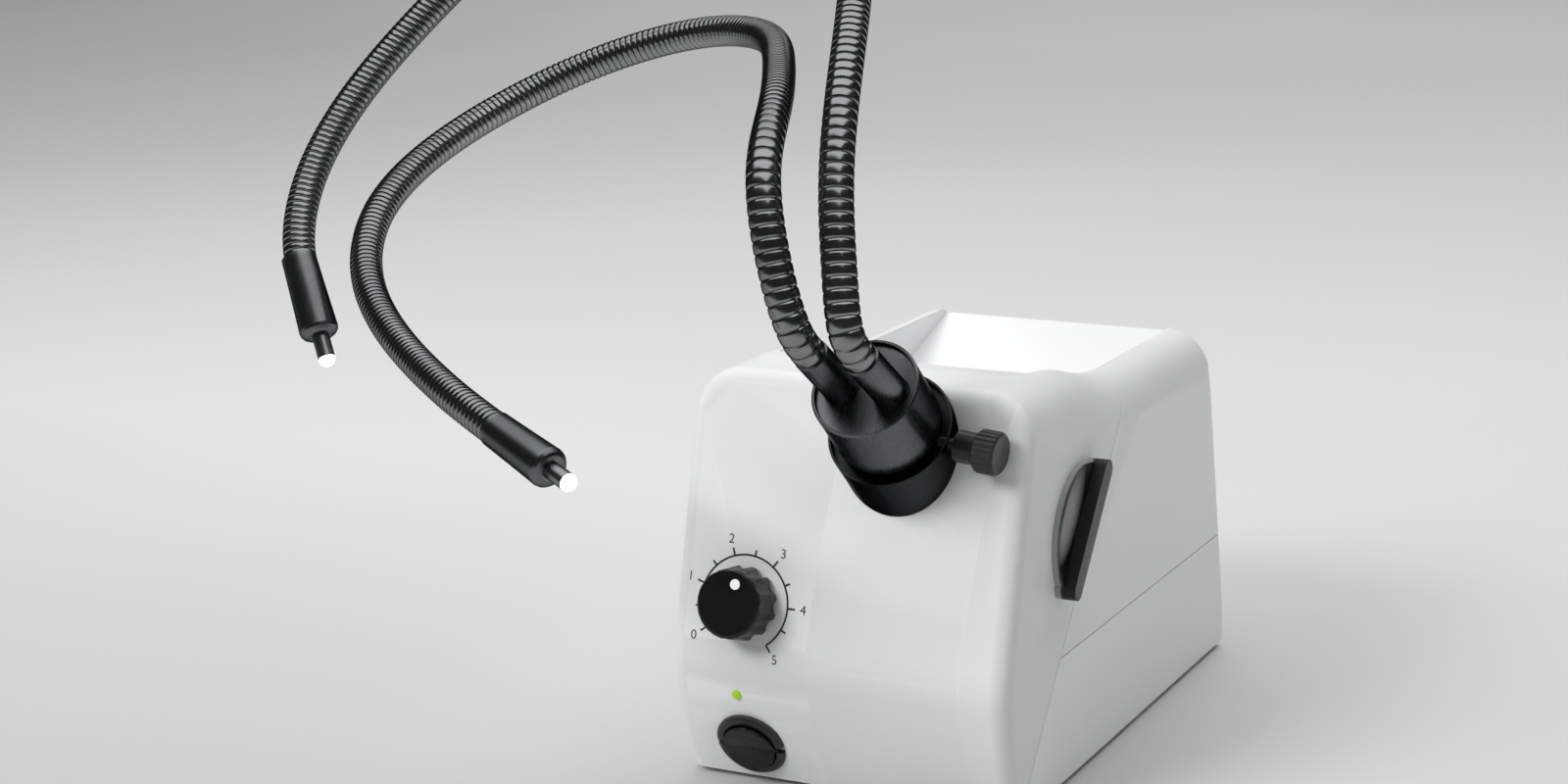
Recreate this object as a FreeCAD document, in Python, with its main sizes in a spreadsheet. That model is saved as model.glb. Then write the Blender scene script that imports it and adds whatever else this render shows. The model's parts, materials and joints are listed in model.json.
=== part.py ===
import FreeCAD, Part
import math
import os
import Sketcher

# Bench light source with a double gooseneck light guide. Lengths are millimetres.
# +X is the viewer's right, +Y points to the back and +Z is up. The origin is the centre of
# the footprint on the bench. Shares, counts and angles have no length in them.

SIZES = (
    # Housing: outline seen from the side, walls and rounds
    ("housing_width", 120.0),
    ("housing_depth", 218.0),
    ("housing_top", 138.0),
    ("rail_rise", 127.0),
    ("foot_rise", 2.0),
    ("crease_rise", 47.0),
    ("crease_lead", 1.5),
    ("front_lean_share", 0.24),
    ("chin_set_back", 12.3),
    ("chin_bulge", 2.2),
    ("bezel_top_run", 46.0),
    ("saddle_radius", 130.0),
    ("rail_back", 20.0),
    ("shoulder_back", 12.0),
    ("shoulder_rise", 104.0),
    ("rear_bend_rise", 52.0),
    ("shell_wall", 2.5),
    ("shoulder_round", 16.0),
    ("crease_round", 30.0),
    ("front_round", 6.0),
    ("rear_round", 10.0),
    # Trough between the rails on top
    ("rail_width", 15.0),
    ("trough_start_run", 52.0),
    ("trough_floor_run", 108.0),
    ("trough_ramp_back", 58.0),
    ("trough_floor_rise", 113.0),
    ("trough_exit_rise", 125.5),
    # Seams between the three shells
    ("seam_rise", 45.5),
    ("seam_gap", 0.4),
    ("seam_lip", 1.2),
    ("lip_reach", 3.0),
    ("bezel_seam_run", 17.9),
    ("bezel_seam_rise", 12.3),
    ("bezel_seam_share", 0.7965),
    # Fine steps on the front face
    ("band_step", 0.8),
    ("band_inset", 16.4),
    ("band_curve", 370.0),
    ("panel_step", 0.3),
    ("panel_left", -10.0),
    ("step_end_run", 38.0),
    # Screw posts, case screws and feet
    ("post_inset", 12.0),
    ("post_front_run", 68.0),
    ("post_rear_back", 55.0),
    ("post_radius", 4.5),
    ("post_cap", 15.0),
    ("screw_radius", 2.0),
    ("screw_length", 52.0),
    ("screw_head_radius", 3.8),
    ("screw_head_height", 2.6),
    ("screw_drive_radius", 1.4),
    ("screw_drive_depth", 1.5),
    ("running_fit", 0.05),
    ("loose_fit", 0.3),
    ("foot_radius", 7.0),
    ("foot_taper", 1.0),
    ("foot_stud_radius", 2.4),
    ("foot_barb_radius", 3.1),
    ("foot_barb_height", 2.6),
    ("foot_front_inset", 16.0),
    ("foot_rear_inset", 26.0),
    ("foot_front_run", 30.0),
    ("foot_rear_back", 12.0),
    # Light port: place on the front and tilt of its axis above the level
    ("port_inset", 44.5),
    ("port_rise", 120.0),
    ("port_tilt", 42.0),
    ("port_radius", 20.5),
    ("port_bore", 14.1),
    ("port_land", 2.8),
    ("port_rim", 0.8),
    ("port_rim_drop", 0.6),
    ("port_groove", 3.0),
    ("port_face", 10.2),
    ("port_tail", 20.0),
    ("port_chamfer", 0.8),
    ("port_nut_radius", 23.5),
    ("port_nut_height", 3.8),
    # Clamp screw in the port
    ("clamp_height", 7.2),
    ("clamp_swing", -6.0),
    ("clamp_radius", 2.0),
    ("clamp_pad_radius", 1.9),
    ("clamp_pad_length", 2.0),
    ("clamp_neck_radius", 5.2),
    ("clamp_neck_length", 7.0),
    ("clamp_neck_start", 3.2),
    ("clamp_head_radius", 7.0),
    ("clamp_head_length", 7.6),
    ("clamp_head_round", 0.8),
    ("clamp_flute_radius", 0.9),
    # Light guide head
    ("ferrule_radius", 14.0),
    ("ferrule_wall", 1.5),
    ("ferrule_insert", 29.0),
    ("collar_radius", 17.5),
    ("collar_length", 24.3),
    ("collar_rim", 1.1),
    ("collar_recess", 3.0),
    ("sleeve_spread", 8.5),
    ("sleeve_lean", 10.0),
    ("sleeve_radius", 5.7),
    ("sleeve_wall", 0.6),
    ("sleeve_length", 20.0),
    ("sleeve_seat", 1.4),
    # Gooseneck arms
    ("hose_radius", 5.5),
    ("hose_groove", 0.55),
    ("hose_bore", 3.6),
    ("rib_pitch", 2.4),
    ("knuckle_gap", 2.4),
    ("bundle_radius", 3.3),
    ("knuckle_radius", 2.9),
    ("neck_span", 100.0),
    # Arm ends
    ("tip_sleeve_radius", 6.6),
    ("tip_sleeve_length", 30.0),
    ("tip_sleeve_grip", 12.0),
    ("tip_sleeve_round", 2.8),
    ("tip_ferrule_radius", 2.9),
    ("tip_root_radius", 2.7),
    ("tip_ferrule_length", 8.0),
    ("exit_rod_radius", 2.2),
    ("exit_lens_radius", 2.8),
    ("exit_lens_height", 2.8),
    ("exit_face_dome", 0.6),
    # Brightness control
    ("knob_inset", 26.2),
    ("knob_rise", 64.6),
    ("knob_radius", 12.3),
    ("knob_top_radius", 11.4),
    ("knob_height", 11.0),
    ("knob_gap", 0.8),
    ("knob_round", 1.2),
    ("knob_flute_radius", 3.2),
    ("knob_flute_sink", 1.2),
    ("knob_socket", 7.5),
    ("dot_radius", 1.7),
    ("dot_out", 7.0),
    ("dot_height", 0.4),
    ("dot_turn", -18.0),
    ("spindle_radius", 3.0),
    ("spindle_below", 8.0),
    ("bush_radius", 4.5),
    ("bush_above", 0.5),
    ("pot_radius", 8.5),
    ("pot_height", 9.0),
    # Status light and power switch
    ("light_inset", 24.0),
    ("light_rise", 33.5),
    ("light_radius", 1.5),
    ("light_body_radius", 1.9),
    ("light_proud", 0.6),
    ("light_length", 7.0),
    ("switch_inset", 26.3),
    ("switch_rise", 14.9),
    ("switch_tilt", 25.0),
    ("switch_radius", 12.3),
    ("switch_flange", 2.0),
    ("switch_seat", 0.9),
    ("switch_bore", 9.6),
    ("switch_body_radius", 10.4),
    ("switch_body_length", 16.0),
    ("switch_body_wall", 1.6),
    ("rocker_radius", 9.3),
    ("rocker_rest", 9.0),
    ("rocker_proud", 0.4),
    ("rocker_depth", 4.0),
    ("rocker_pin_radius", 1.4),
    ("rocker_pin_reach", 10.2),
    # Filter slide on the right cheek
    ("slide_run", 49.7),
    ("slide_rise", 92.0),
    ("slide_lean", 38.5),
    ("slide_length", 50.0),
    ("slide_width", 22.0),
    ("slide_proud", 3.2),
    ("slide_rib_proud", 7.0),
    ("slide_rib_width", 7.0),
    ("slide_scoop", 1.8),
    ("slide_scoop_span", 150.0),
    ("slide_scoop_sweep", 22.0),
    ("blade_depth", 46.0),
    ("blade_width", 32.0),
    ("blade_thick", 2.4),
    ("blade_tail", 21.5),
    ("filter_radius", 12.5),
    ("filter_thick", 2.0),
    # Light engine behind the port
    ("tube_radius", 19.0),
    ("tube_wall", 2.0),
    ("tube_length", 52.0),
    ("lens_radius", 13.0),
    ("lens_thick", 8.0),
    ("lens_edge", 2.4),
    ("lens_depth", 58.0),
    ("lens_ring", 2.0),
    ("board_radius", 24.0),
    ("board_thick", 1.6),
    ("emitter_side", 7.0),
    ("emitter_height", 1.8),
    ("sink_side", 50.0),
    ("sink_base", 6.0),
    ("sink_fin_height", 24.0),
    ("sink_fin_thick", 1.6),
    ("sink_bracket_width", 14.0),
    ("sink_bracket_thick", 3.0),
    # Fan at the back
    ("fan_wall_gap", 5.5),
    ("fan_back", 35.0),
    ("fan_side", 60.0),
    ("fan_depth", 20.0),
    ("fan_bore_radius", 28.0),
    ("fan_hub_radius", 11.0),
    ("fan_hub_length", 14.0),
    ("fan_tip_radius", 27.0),
    ("fan_blade_thick", 1.4),
    ("fan_blade_chord", 11.0),
    ("fan_arm_width", 4.0),
    ("fan_arm_depth", 2.4),
    ("fan_pin_radius", 1.5),
    # Power supply board
    ("supply_wall_gap", 6.5),
    ("supply_width", 40.0),
    ("supply_post_gap", 3.0),
    ("supply_rise", 10.5),
    ("supply_thick", 1.6),
    ("supply_inset", 5.0),
    ("stand_radius", 2.8),
    ("coil_width", 30.0),
    ("coil_height", 26.0),
    ("can_radius", 7.0),
    ("can_height", 24.0),
    # Mains inlet in the back wall
    ("inlet_wall_gap", 12.0),
    ("inlet_rise", 24.0),
    ("inlet_width", 29.0),
    ("inlet_height", 33.0),
    ("inlet_flange", 2.4),
    ("inlet_lap", 3.0),
    ("inlet_depth", 24.0),
    ("socket_width", 24.6),
    ("socket_height", 16.6),
    ("socket_depth", 17.0),
    ("socket_lift", 5.6),
    ("pin_width", 4.0),
    ("pin_thick", 2.0),
    ("pin_length", 14.0),
    ("pin_spread", 7.0),
    ("pin_drop", 1.8),
    ("drawer_width", 20.0),
    ("drawer_height", 7.0),
    ("drawer_depth", 20.0),
    ("drawer_lift", -11.0),
    ("drawer_face", 1.4),
    # Air slots
    ("slot_width", 2.6),
    ("slot_pitch", 6.2),
    ("slot_low", 9.0),
    ("slot_high", 41.0),
    ("slot_cover_low", 49.5),
    ("slot_cover_high", 62.0),
    ("intake_width", 3.0),
    ("intake_length", 34.0),
    ("intake_pitch", 7.0),
    ("intake_run", 92.0),
    ("overrun", 4.0),
)

KNOB_FLUTES = 12
ROUND_STEPS = 4
CLAMP_FLUTES = 24
FAN_BLADES = 7
SINK_FINS = 9
REAR_SLOTS = 8
INTAKE_SLOTS = 9
FAN_BLADE_PITCH = 38.0
COIL_SHARE = 0.425
CAN_SPREAD_SHARE = 1.3
LENS_SHARES = ((0.75, 0.44), (0.4, 0.84))

# Routes of the two arms, each point counted from the point where its sleeve leaves the
# collar, in shares of the neck span along X, Y and Z.
LEFT_ROUTE_SHARES = (
    (-0.105, -0.049, 0.297), (-0.180, 0.021, 0.567), (-0.260, 0.321, 0.717),
    (-0.480, 0.781, 0.787), (-0.690, 1.181, 0.842), (-1.030, 1.361, 0.837),
    (-1.390, 1.301, 0.742), (-1.680, 1.121, 0.597), (-1.850, 0.801, 0.442),
    (-1.880, 0.441, 0.277), (-1.760, 0.171, 0.087), (-1.490, -0.059, -0.053),
    (-1.170, -0.279, -0.138), (-0.980, -0.384, -0.188), (-0.750, -0.484, -0.253),
)
RIGHT_ROUTE_SHARES = (
    (-0.065, -0.009, 0.257), (-0.135, 0.101, 0.537), (-0.210, 0.351, 0.837),
    (-0.310, 0.681, 1.127), (-0.490, 1.021, 1.427), (-0.770, 1.261, 1.657),
    (-1.150, 1.351, 1.697), (-1.510, 1.291, 1.527), (-1.810, 1.131, 1.247),
    (-2.040, 0.901, 0.957), (-2.190, 0.621, 0.687), (-2.250, 0.361, 0.417),
    (-2.200, 0.181, 0.187), (-2.110, 0.121, 0.037),
)
ROUTE_LEAD_SHARE = 0.11
ARC_SHARE = 0.45
LEFT_BEND_SHARES = (0.13, 0.46, 0.80)
RIGHT_BEND_SHARES = (0.13, 0.46, 0.80)

doc = FreeCAD.newDocument("illuminator")
sheet = doc.addObject("Spreadsheet::Sheet", "sizes")
nodes = {}


class Length:
    """A size from the sheet, or a sum of sizes: its value and its expression."""

    def __init__(self, value, text):
        self.value = value
        self.text = text

    def joined(self, other, sign, value):
        other_text = other.text if isinstance(other, Length) else repr(other)
        return Length(value, "(" + self.text + sign + other_text + ")")

    def __add__(self, other):
        return self.joined(other, " + ", self.value + other.value)

    def __sub__(self, other):
        return self.joined(other, " - ", self.value - other.value)

    def __mul__(self, number):
        return self.joined(number, " * ", self.value * number)

    def __truediv__(self, number):
        return self.joined(number, " / ", self.value / number)

    def __neg__(self):
        return Length(-self.value, "(-" + self.text + ")")


class Sizes:
    """Reads the sheet: as lengths with expressions, or as plain numbers."""

    def __init__(self, plain):
        self.plain = plain

    def __getattr__(self, name):
        value = float(sheet.get(name))
        return value if self.plain else Length(value, "sizes." + name)


def fill_sheet():
    for row, (name, value) in enumerate(SIZES, 1):
        sheet.set("A%d" % row, name)
        sheet.set("B%d" % row, str(value))
        sheet.setAlias("B%d" % row, name)
    doc.recompute()


fill_sheet()
S = Sizes(False)
D = Sizes(True)
ZERO = Length(0.0, "0")
UP = FreeCAD.Vector(0, 0, 1)
ACROSS = FreeCAD.Vector(1, 0, 0)
ALONG = FreeCAD.Vector(0, 1, 0)


def spot(x, y, z):
    return FreeCAD.Vector(x, y, z)


def run(distance):
    """The Y place of a point this far behind the front."""
    return distance - D.housing_depth / 2


def from_back(distance):
    """The Y place of a point this far ahead of the back."""
    return D.housing_depth / 2 - distance


def from_left(inset):
    """The X place of a point this far in from the left side."""
    return inset - D.housing_width / 2


def front_place(rise):
    """The Y place of the leaning upper front at this height."""
    return run(-D.crease_lead) + (rise - D.crease_rise) * D.front_lean_share


# Frames: the local Z axis points out of the surface and the local X axis is the part's X
def tilted(base, degrees_above_level):
    turn = FreeCAD.Rotation(ACROSS, 90.0 - degrees_above_level)
    return FreeCAD.Placement(base, turn)


def shifted(frame, x, y, z, turn=None):
    return frame.multiply(FreeCAD.Placement(spot(x, y, z), turn or FreeCAD.Rotation()))


PANEL_TILT = math.degrees(math.atan(D.front_lean_share))
PORT_X = -from_left(D.port_inset)
PORT = tilted(spot(PORT_X, front_place(D.port_rise), D.port_rise), D.port_tilt)
KNOB = tilted(spot(from_left(D.knob_inset), front_place(D.knob_rise), D.knob_rise), PANEL_TILT)
INLET_X = -from_left(D.shell_wall + D.inlet_wall_gap + D.inlet_width / 2)
FAN_X = from_left(D.shell_wall + D.fan_wall_gap + D.fan_side / 2)
FAN_Y = from_back(D.fan_back)


# Sketched bodies
def origin_plane(body, role):
    return [item for item in body.Origin.OriginFeatures if item.Role == role][0]


def bind(sketch, number, length):
    """Ties one constraint of the sketch to the sheet."""
    if length.text != repr(length.value):
        sketch.setExpression("Constraints[%d]" % number, length.text)


def hold_point(sketch, edge, point, x, y):
    """Fixes one corner of a sketch by its two distances from the sketch's origin."""
    for kind, axis, length in (("DistanceX", -2, x), ("DistanceY", -1, y)):
        if length is ZERO:
            sketch.addConstraint(Sketcher.Constraint("PointOnObject", edge, point, axis))
            continue
        away = length if length.value >= 0 else -length
        ends = (-1, 1, edge, point) if length.value >= 0 else (edge, point, -1, 1)
        number = sketch.addConstraint(Sketcher.Constraint(kind, *ends, away.value))
        bind(sketch, number, away)


def new_sketch(body, name, role):
    sketch = body.newObject("Sketcher::SketchObject", name)
    sketch.AttachmentSupport = [(origin_plane(body, role), "")]
    sketch.MapMode = "FlatFace"
    return sketch


def outline_sketch(body, name, role, corners):
    sketch = new_sketch(body, name, role)
    count = len(corners)
    for i in range(count):
        (x0, y0), (x1, y1) = corners[i], corners[(i + 1) % count]
        line = Part.LineSegment(spot(x0.value, y0.value, 0), spot(x1.value, y1.value, 0))
        sketch.addGeometry(line)
    for i in range(count):
        sketch.addConstraint(Sketcher.Constraint("Coincident", i, 2, (i + 1) % count, 1))
    for i, (x, y) in enumerate(corners):
        hold_point(sketch, i, 1, x, y)
    return sketch


def circle_sketch(body, name, radius, x):
    sketch = new_sketch(body, name, "XY_Plane")
    sketch.addGeometry(Part.Circle(spot(x.value, 0, 0), UP, radius.value))
    number = sketch.addConstraint(Sketcher.Constraint("Radius", 0, radius.value))
    bind(sketch, number, radius)
    hold_point(sketch, 0, 3, x, ZERO)
    return sketch


def new_body(name):
    body = doc.addObject("PartDesign::Body", name)
    body.Label = name
    nodes[name] = body
    return body


def turned(name, frame, corners):
    """A piece turned about its local Z axis; corners are radius and height pairs."""
    body = new_body(name)
    sketch = outline_sketch(body, name + "_outline", "XZ_Plane", corners)
    spin = body.newObject("PartDesign::Revolution", name + "_turning")
    spin.Profile = sketch
    spin.ReferenceAxis = (sketch, ["V_Axis"])
    spin.Angle = 360.0
    sketch.Visibility = False
    body.Placement = frame
    doc.recompute()
    return body


def rounded(radius, end, fillet):
    """Corners of a quarter round where the side of a turned piece meets its end."""
    corners = []
    for i in range(ROUND_STEPS + 1):
        turn = math.pi / 2 * i / ROUND_STEPS
        inward = fillet * (1 - math.cos(turn))
        short = fillet * (1 - math.sin(turn))
        corners.append((radius - inward, end - short))
    return corners


def flute(body, name, count, radius, out, depth):
    """Cuts one groove along the rim and repeats it round the axis."""
    before = body.Shape.Volume
    sketch = circle_sketch(body, name + "_flute_outline", radius, out)
    groove = body.newObject("PartDesign::Pocket", name + "_flute")
    groove.Profile = sketch
    groove.Type = 0
    groove.Length = depth.value
    groove.setExpression("Length", depth.text)
    groove.Reversed = True
    doc.recompute()
    around = body.newObject("PartDesign::PolarPattern", name + "_flutes")
    around.Originals = [groove]
    around.Axis = (sketch, ["N_Axis"])
    around.Angle = 360.0
    around.Occurrences = count
    body.Tip = around
    doc.recompute()
    if body.Shape.Volume >= before:
        raise ValueError(name + " has no flutes")


# Plain primitives
def set_lengths(item, lengths):
    for key, length in lengths.items():
        if length is ZERO:
            continue
        item.setExpression(key, length.text)


def box(name, low, size):
    """A block given by its low corner and its three sides."""
    item = doc.addObject("Part::Box", name)
    keys = ("Placement.Base.x", "Placement.Base.y", "Placement.Base.z")
    set_lengths(item, dict(zip(keys, low)))
    set_lengths(item, dict(zip(("Length", "Width", "Height"), size)))
    return item


def middle_box(name, centre, size):
    """A block given by the centre of its underside and its three sides."""
    low = (centre[0] - size[0] / 2, centre[1] - size[1] / 2, centre[2])
    return box(name, low, size)


def rod(name, base, radius, length):
    item = doc.addObject("Part::Cylinder", name)
    keys = ("Placement.Base.x", "Placement.Base.y", "Placement.Base.z")
    set_lengths(item, dict(zip(keys, base)))
    set_lengths(item, {"Radius": radius, "Height": length})
    return item


def joined(name, items):
    item = doc.addObject("Part::MultiFuse", name)
    item.Shapes = items
    return item


def without(name, base, tool):
    item = doc.addObject("Part::Cut", name)
    item.Base = base
    item.Tool = tool
    return item


def keep(name, item, frame=None):
    """Marks an object as a piece of the part, with its place."""
    item.Label = name
    if frame is not None:
        item.Placement = frame
    nodes[name] = item
    doc.recompute()
    return item


def formed(name, shape, frame=None):
    """A piece whose shape the geometry functions below work out from the sheet."""
    item = doc.addObject("Part::Feature", name)
    item.Shape = shape
    return keep(name, item, frame)


# Housing form
def side_edges(x):
    """The outline of the housing seen from the side."""
    low, top, rail = D.foot_rise, D.housing_top, D.rail_rise
    front = run(-D.crease_lead)
    chin = run(D.chin_set_back)
    flat_end = run(D.bezel_top_run)
    drop = top - rail
    angle = math.acos(1 - drop / 2 / D.saddle_radius)
    reach = D.saddle_radius * math.sin(angle)
    half_reach = D.saddle_radius * math.sin(angle / 2)
    sag = D.saddle_radius * (1 - math.cos(angle / 2))
    chin_foot = spot(x, chin, low)
    crease = spot(x, front, D.crease_rise)
    chin_middle = spot(x, (front + chin) / 2 - D.chin_bulge, (low + D.crease_rise) / 2)
    brow = spot(x, front_place(top), top)
    crest = spot(x, flat_end, top)
    turn = spot(x, flat_end + reach, (top + rail) / 2)
    saddle = spot(x, flat_end + 2 * reach, rail)
    crest_arc = spot(x, flat_end + half_reach, top - sag)
    saddle_arc = spot(x, flat_end + 2 * reach - half_reach, rail + sag)
    tail = spot(x, from_back(D.rail_back), rail)
    shoulder = spot(x, from_back(D.shoulder_back), D.shoulder_rise)
    rear_bend = spot(x, run(D.housing_depth), D.rear_bend_rise)
    rear_foot = spot(x, run(D.housing_depth), low)
    curves = (
        Part.Arc(chin_foot, chin_middle, crease),
        Part.LineSegment(crease, brow),
        Part.LineSegment(brow, crest),
        Part.Arc(crest, crest_arc, turn),
        Part.Arc(turn, saddle_arc, saddle),
        Part.LineSegment(saddle, tail),
        Part.LineSegment(tail, shoulder),
        Part.LineSegment(shoulder, rear_bend),
        Part.LineSegment(rear_bend, rear_foot),
        Part.LineSegment(rear_foot, chin_foot),
    )
    return [curve.toShape() for curve in curves]


def inset_face(edges, inset):
    face = Part.Face(Part.Wire(edges))
    if inset == 0:
        return face
    return face.makeOffset2D(inset, 2, False, False, True)


def level_side_edges(solid, half, low, high):
    """Edges that lie in a side wall between two heights."""
    found = []
    for edge in solid.Edges:
        span = edge.BoundBox
        flat = span.XLength < D.running_fit and abs(abs(span.Center.x) - half) < D.running_fit
        if flat and span.ZMin > low and span.ZMax < high and span.YLength > D.shell_wall:
            found.append(edge)
    return found


def housing_form(inset):
    """The closed outer form of the housing, drawn in on every side by inset."""
    half = D.housing_width / 2 - inset
    face = inset_face(side_edges(-half), -inset)
    solid = face.extrude(ACROSS * (2 * half))
    low = D.rail_rise - inset - D.seam_gap
    high = D.housing_top - inset + D.seam_gap
    solid = solid.makeFillet(
        D.shoulder_round - inset, level_side_edges(solid, half, low, high)
    )
    solid = solid.makeFillet(D.crease_round - inset, crease_edges(solid))
    solid = solid.makeFillet(D.front_round - inset, front_edges(solid, half, inset))
    return solid.makeFillet(D.rear_round - inset, rear_edges(solid, inset))


def crease_edges(solid):
    found = []
    for edge in solid.Edges:
        span = edge.BoundBox
        level = span.ZLength < D.running_fit and span.YLength < D.running_fit
        near = abs(span.Center.z - D.crease_rise) < D.shell_wall
        if level and near and span.YMax < run(D.shell_wall * 2):
            found.append(edge)
    return found


def front_edges(solid, half, inset):
    """The rim of the front face, without its bottom edge and the crease."""
    found = []
    for edge in solid.Edges:
        span = edge.BoundBox
        level = span.XLength > half and span.ZMax < D.housing_top - inset - D.shell_wall
        if span.YMax < run(D.bezel_top_run / 2 + D.shell_wall) and not level:
            found.append(edge)
    return found


def rear_edges(solid, inset):
    found = []
    for edge in solid.Edges:
        span = edge.BoundBox
        behind = span.YMin > from_back(D.rail_back + 2 * D.shoulder_round)
        short = span.YLength < D.shoulder_round * 2
        if behind and short and span.ZMin > D.foot_rise + inset + D.seam_gap:
            found.append(edge)
    return found


def trough_form(grow):
    """The space above the trough, grown by the wall for the inside of the housing."""
    sky = D.housing_top + D.rail_rise
    behind = run(D.housing_depth * 2)
    half = D.housing_width / 2 - D.rail_width + grow
    floor = D.trough_floor_rise
    ramp_start, ramp_end = from_back(D.trough_ramp_back), from_back(D.rail_back)
    start_rise = D.housing_top + (D.housing_top - floor) * D.front_lean_share
    lead = (D.trough_floor_run - D.trough_start_run) * D.front_lean_share
    corners = (
        spot(-half, run(D.trough_start_run) - lead, start_rise),
        spot(-half, run(D.trough_floor_run), floor),
        spot(-half, ramp_start, floor),
        spot(-half, ramp_end, D.trough_exit_rise),
        spot(-half, behind, D.trough_exit_rise),
        spot(-half, behind, sky),
        spot(-half, run(D.trough_start_run) - lead, sky),
    )
    wire = Part.makePolygon(list(corners) + [corners[0]])
    face = inset_face(wire.Edges, grow)
    return face.extrude(ACROSS * (2 * half))


def seam_region(gap, ahead):
    """Everything in front of, or behind, the leaning seam of the front bezel."""
    far = D.housing_depth + D.housing_top
    half = D.housing_width
    seam_y = run(D.bezel_seam_run) + gap
    rise = D.bezel_seam_rise
    top_y = seam_y + (far - rise) * D.bezel_seam_share
    end = -far if ahead else far * 2
    corners = (
        spot(-half, seam_y, -far),
        spot(-half, seam_y, rise),
        spot(-half, top_y, far),
        spot(-half, end, far),
        spot(-half, end, -far),
    )
    face = Part.Face(Part.makePolygon(list(corners) + [corners[0]]))
    return face.extrude(ACROSS * (2 * half))


def slab(low, high):
    far = D.housing_depth + D.housing_top
    return Part.makeBox(2 * far, 2 * far, high - low, spot(-far, -far, low))


def post_places():
    for x in (from_left(D.post_inset), -from_left(D.post_inset)):
        for y in (run(D.post_front_run), from_back(D.post_rear_back)):
            yield spot(x, y, 0)


def foot_places():
    rows = (
        (D.foot_front_inset, run(D.foot_front_run)),
        (D.foot_rear_inset, from_back(D.foot_rear_back)),
    )
    for inset, y in rows:
        for x in (from_left(inset), -from_left(inset)):
            yield spot(x, y, 0)


def upright(place, radius, low, high):
    return Part.makeCylinder(radius, high - low, spot(place.x, place.y, low))


def along_frame(frame, radius, low, high):
    rod_shape = Part.makeCylinder(radius, high - low, spot(0, 0, low))
    rod_shape.Placement = frame
    return rod_shape


OUTER = housing_form(0)
INNER = housing_form(D.shell_wall)
LIP = housing_form(D.shell_wall + D.seam_lip)
TROUGH = trough_form(0)
TROUGH_INNER = trough_form(D.shell_wall)
TROUGH_LIP = trough_form(D.shell_wall + D.seam_lip)
SKIN = OUTER.cut(TROUGH)
HOLLOW = INNER.cut(TROUGH_INNER)
LIP_RING = HOLLOW.cut(LIP.cut(TROUGH_LIP))


def right_of(left_edge):
    """Everything right of a line on the front that swings out above and below."""
    span = D.housing_top
    out = span * span / 2 / D.band_curve
    middle = spot(left_edge, 0, D.crease_rise)
    above = spot(left_edge + out, 0, D.crease_rise + span)
    below = spot(left_edge + out, 0, D.crease_rise - span)
    far = spot(D.housing_width * 2, 0, 0)
    corners = (above, above + far, below + far, below)
    edges = [Part.Arc(below, middle, above).toShape()]
    edges += [Part.LineSegment(a, b).toShape() for a, b in zip(corners, corners[1:])]
    zone = Part.Face(Part.Wire(edges)).extrude(ALONG * (2 * D.housing_depth))
    zone.translate(spot(0, -D.housing_depth, 0))
    return zone


def moved_back(shape, distance):
    copy = shape.copy()
    copy.translate(spot(0, distance, 0))
    return copy


def front_bezel():
    ahead = seam_region(0, True)
    far = D.housing_depth + D.housing_top
    near = Part.makeBox(
        2 * far, 2 * far, 2 * far, spot(-far, run(D.step_end_run) - 2 * far, -far)
    )
    left = near.cut(right_of(D.panel_left))
    right = near.common(right_of(-from_left(D.band_inset)))
    panel = moved_back(SKIN, D.panel_step).common(ahead).common(left)
    band = moved_back(SKIN, -D.band_step).common(ahead).common(right)
    shell = SKIN.common(ahead).cut(left).fuse([panel, band]).cut(HOLLOW)
    lip = LIP_RING.common(seam_region(D.lip_reach, True))
    lip = lip.common(seam_region(-D.lip_reach, False))
    lip = lip.common(slab(D.foot_rise + D.shell_wall + D.lip_reach, D.housing_top * 2))
    shell = shell.fuse(lip)
    knob_hole = D.bush_radius + D.running_fit
    light_hole = D.light_radius + D.running_fit
    port_hole = D.port_radius + D.running_fit
    cuts = [
        along_frame(PORT, port_hole, -D.port_tail * 2, D.port_face * 4),
        along_frame(KNOB, knob_hole, -D.knob_height, D.knob_height),
        along_frame(LIGHT, light_hole, -D.light_length, D.light_length),
        switch_frame_cut(),
        blade_slot(),
    ]
    return shell.cut(cuts)


def chin_normal_tilt(rise):
    """Angle of the curved lower front below the level at this height."""
    chord = math.atan2(D.chin_set_back + D.crease_lead, D.crease_rise - D.foot_rise)
    half_chord = math.hypot(
        D.chin_set_back + D.crease_lead, D.crease_rise - D.foot_rise
    ) / 2
    radius = half_chord * half_chord / 2 / D.chin_bulge
    middle = (D.crease_rise + D.foot_rise) / 2
    return math.degrees(chord + (middle - rise) / radius)


def chin_place(rise):
    """The Y place of the curved lower front at this height."""
    share = (D.crease_rise - rise) / (D.crease_rise - D.foot_rise)
    chord = share * (D.chin_set_back + D.crease_lead)
    return run(-D.crease_lead) + chord - 4 * D.chin_bulge * share * (1 - share)


SWITCH = tilted(
    spot(from_left(D.switch_inset), chin_place(D.switch_rise), D.switch_rise), -D.switch_tilt
)
LIGHT = tilted(
    spot(from_left(D.light_inset), chin_place(D.light_rise), D.light_rise),
    -chin_normal_tilt(D.light_rise),
)


def switch_frame_cut():
    seat = along_frame(
        SWITCH, D.switch_radius + D.running_fit, -D.switch_seat, D.switch_radius
    )
    through = along_frame(
        SWITCH, D.switch_body_radius + D.running_fit, -D.switch_radius, D.switch_radius
    )
    return seat.fuse(through)


def blade_solid(grow, inner, outer):
    """The thin slide that crosses the light path, between two X places."""
    block = Part.makeBox(
        outer - inner, D.blade_width + 2 * grow, D.blade_thick + 2 * grow,
        spot(
            inner - PORT_X,
            -D.blade_width / 2 - grow,
            -D.blade_depth - D.blade_thick / 2 - grow,
        ),
    )
    block.Placement = PORT
    return block


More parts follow.
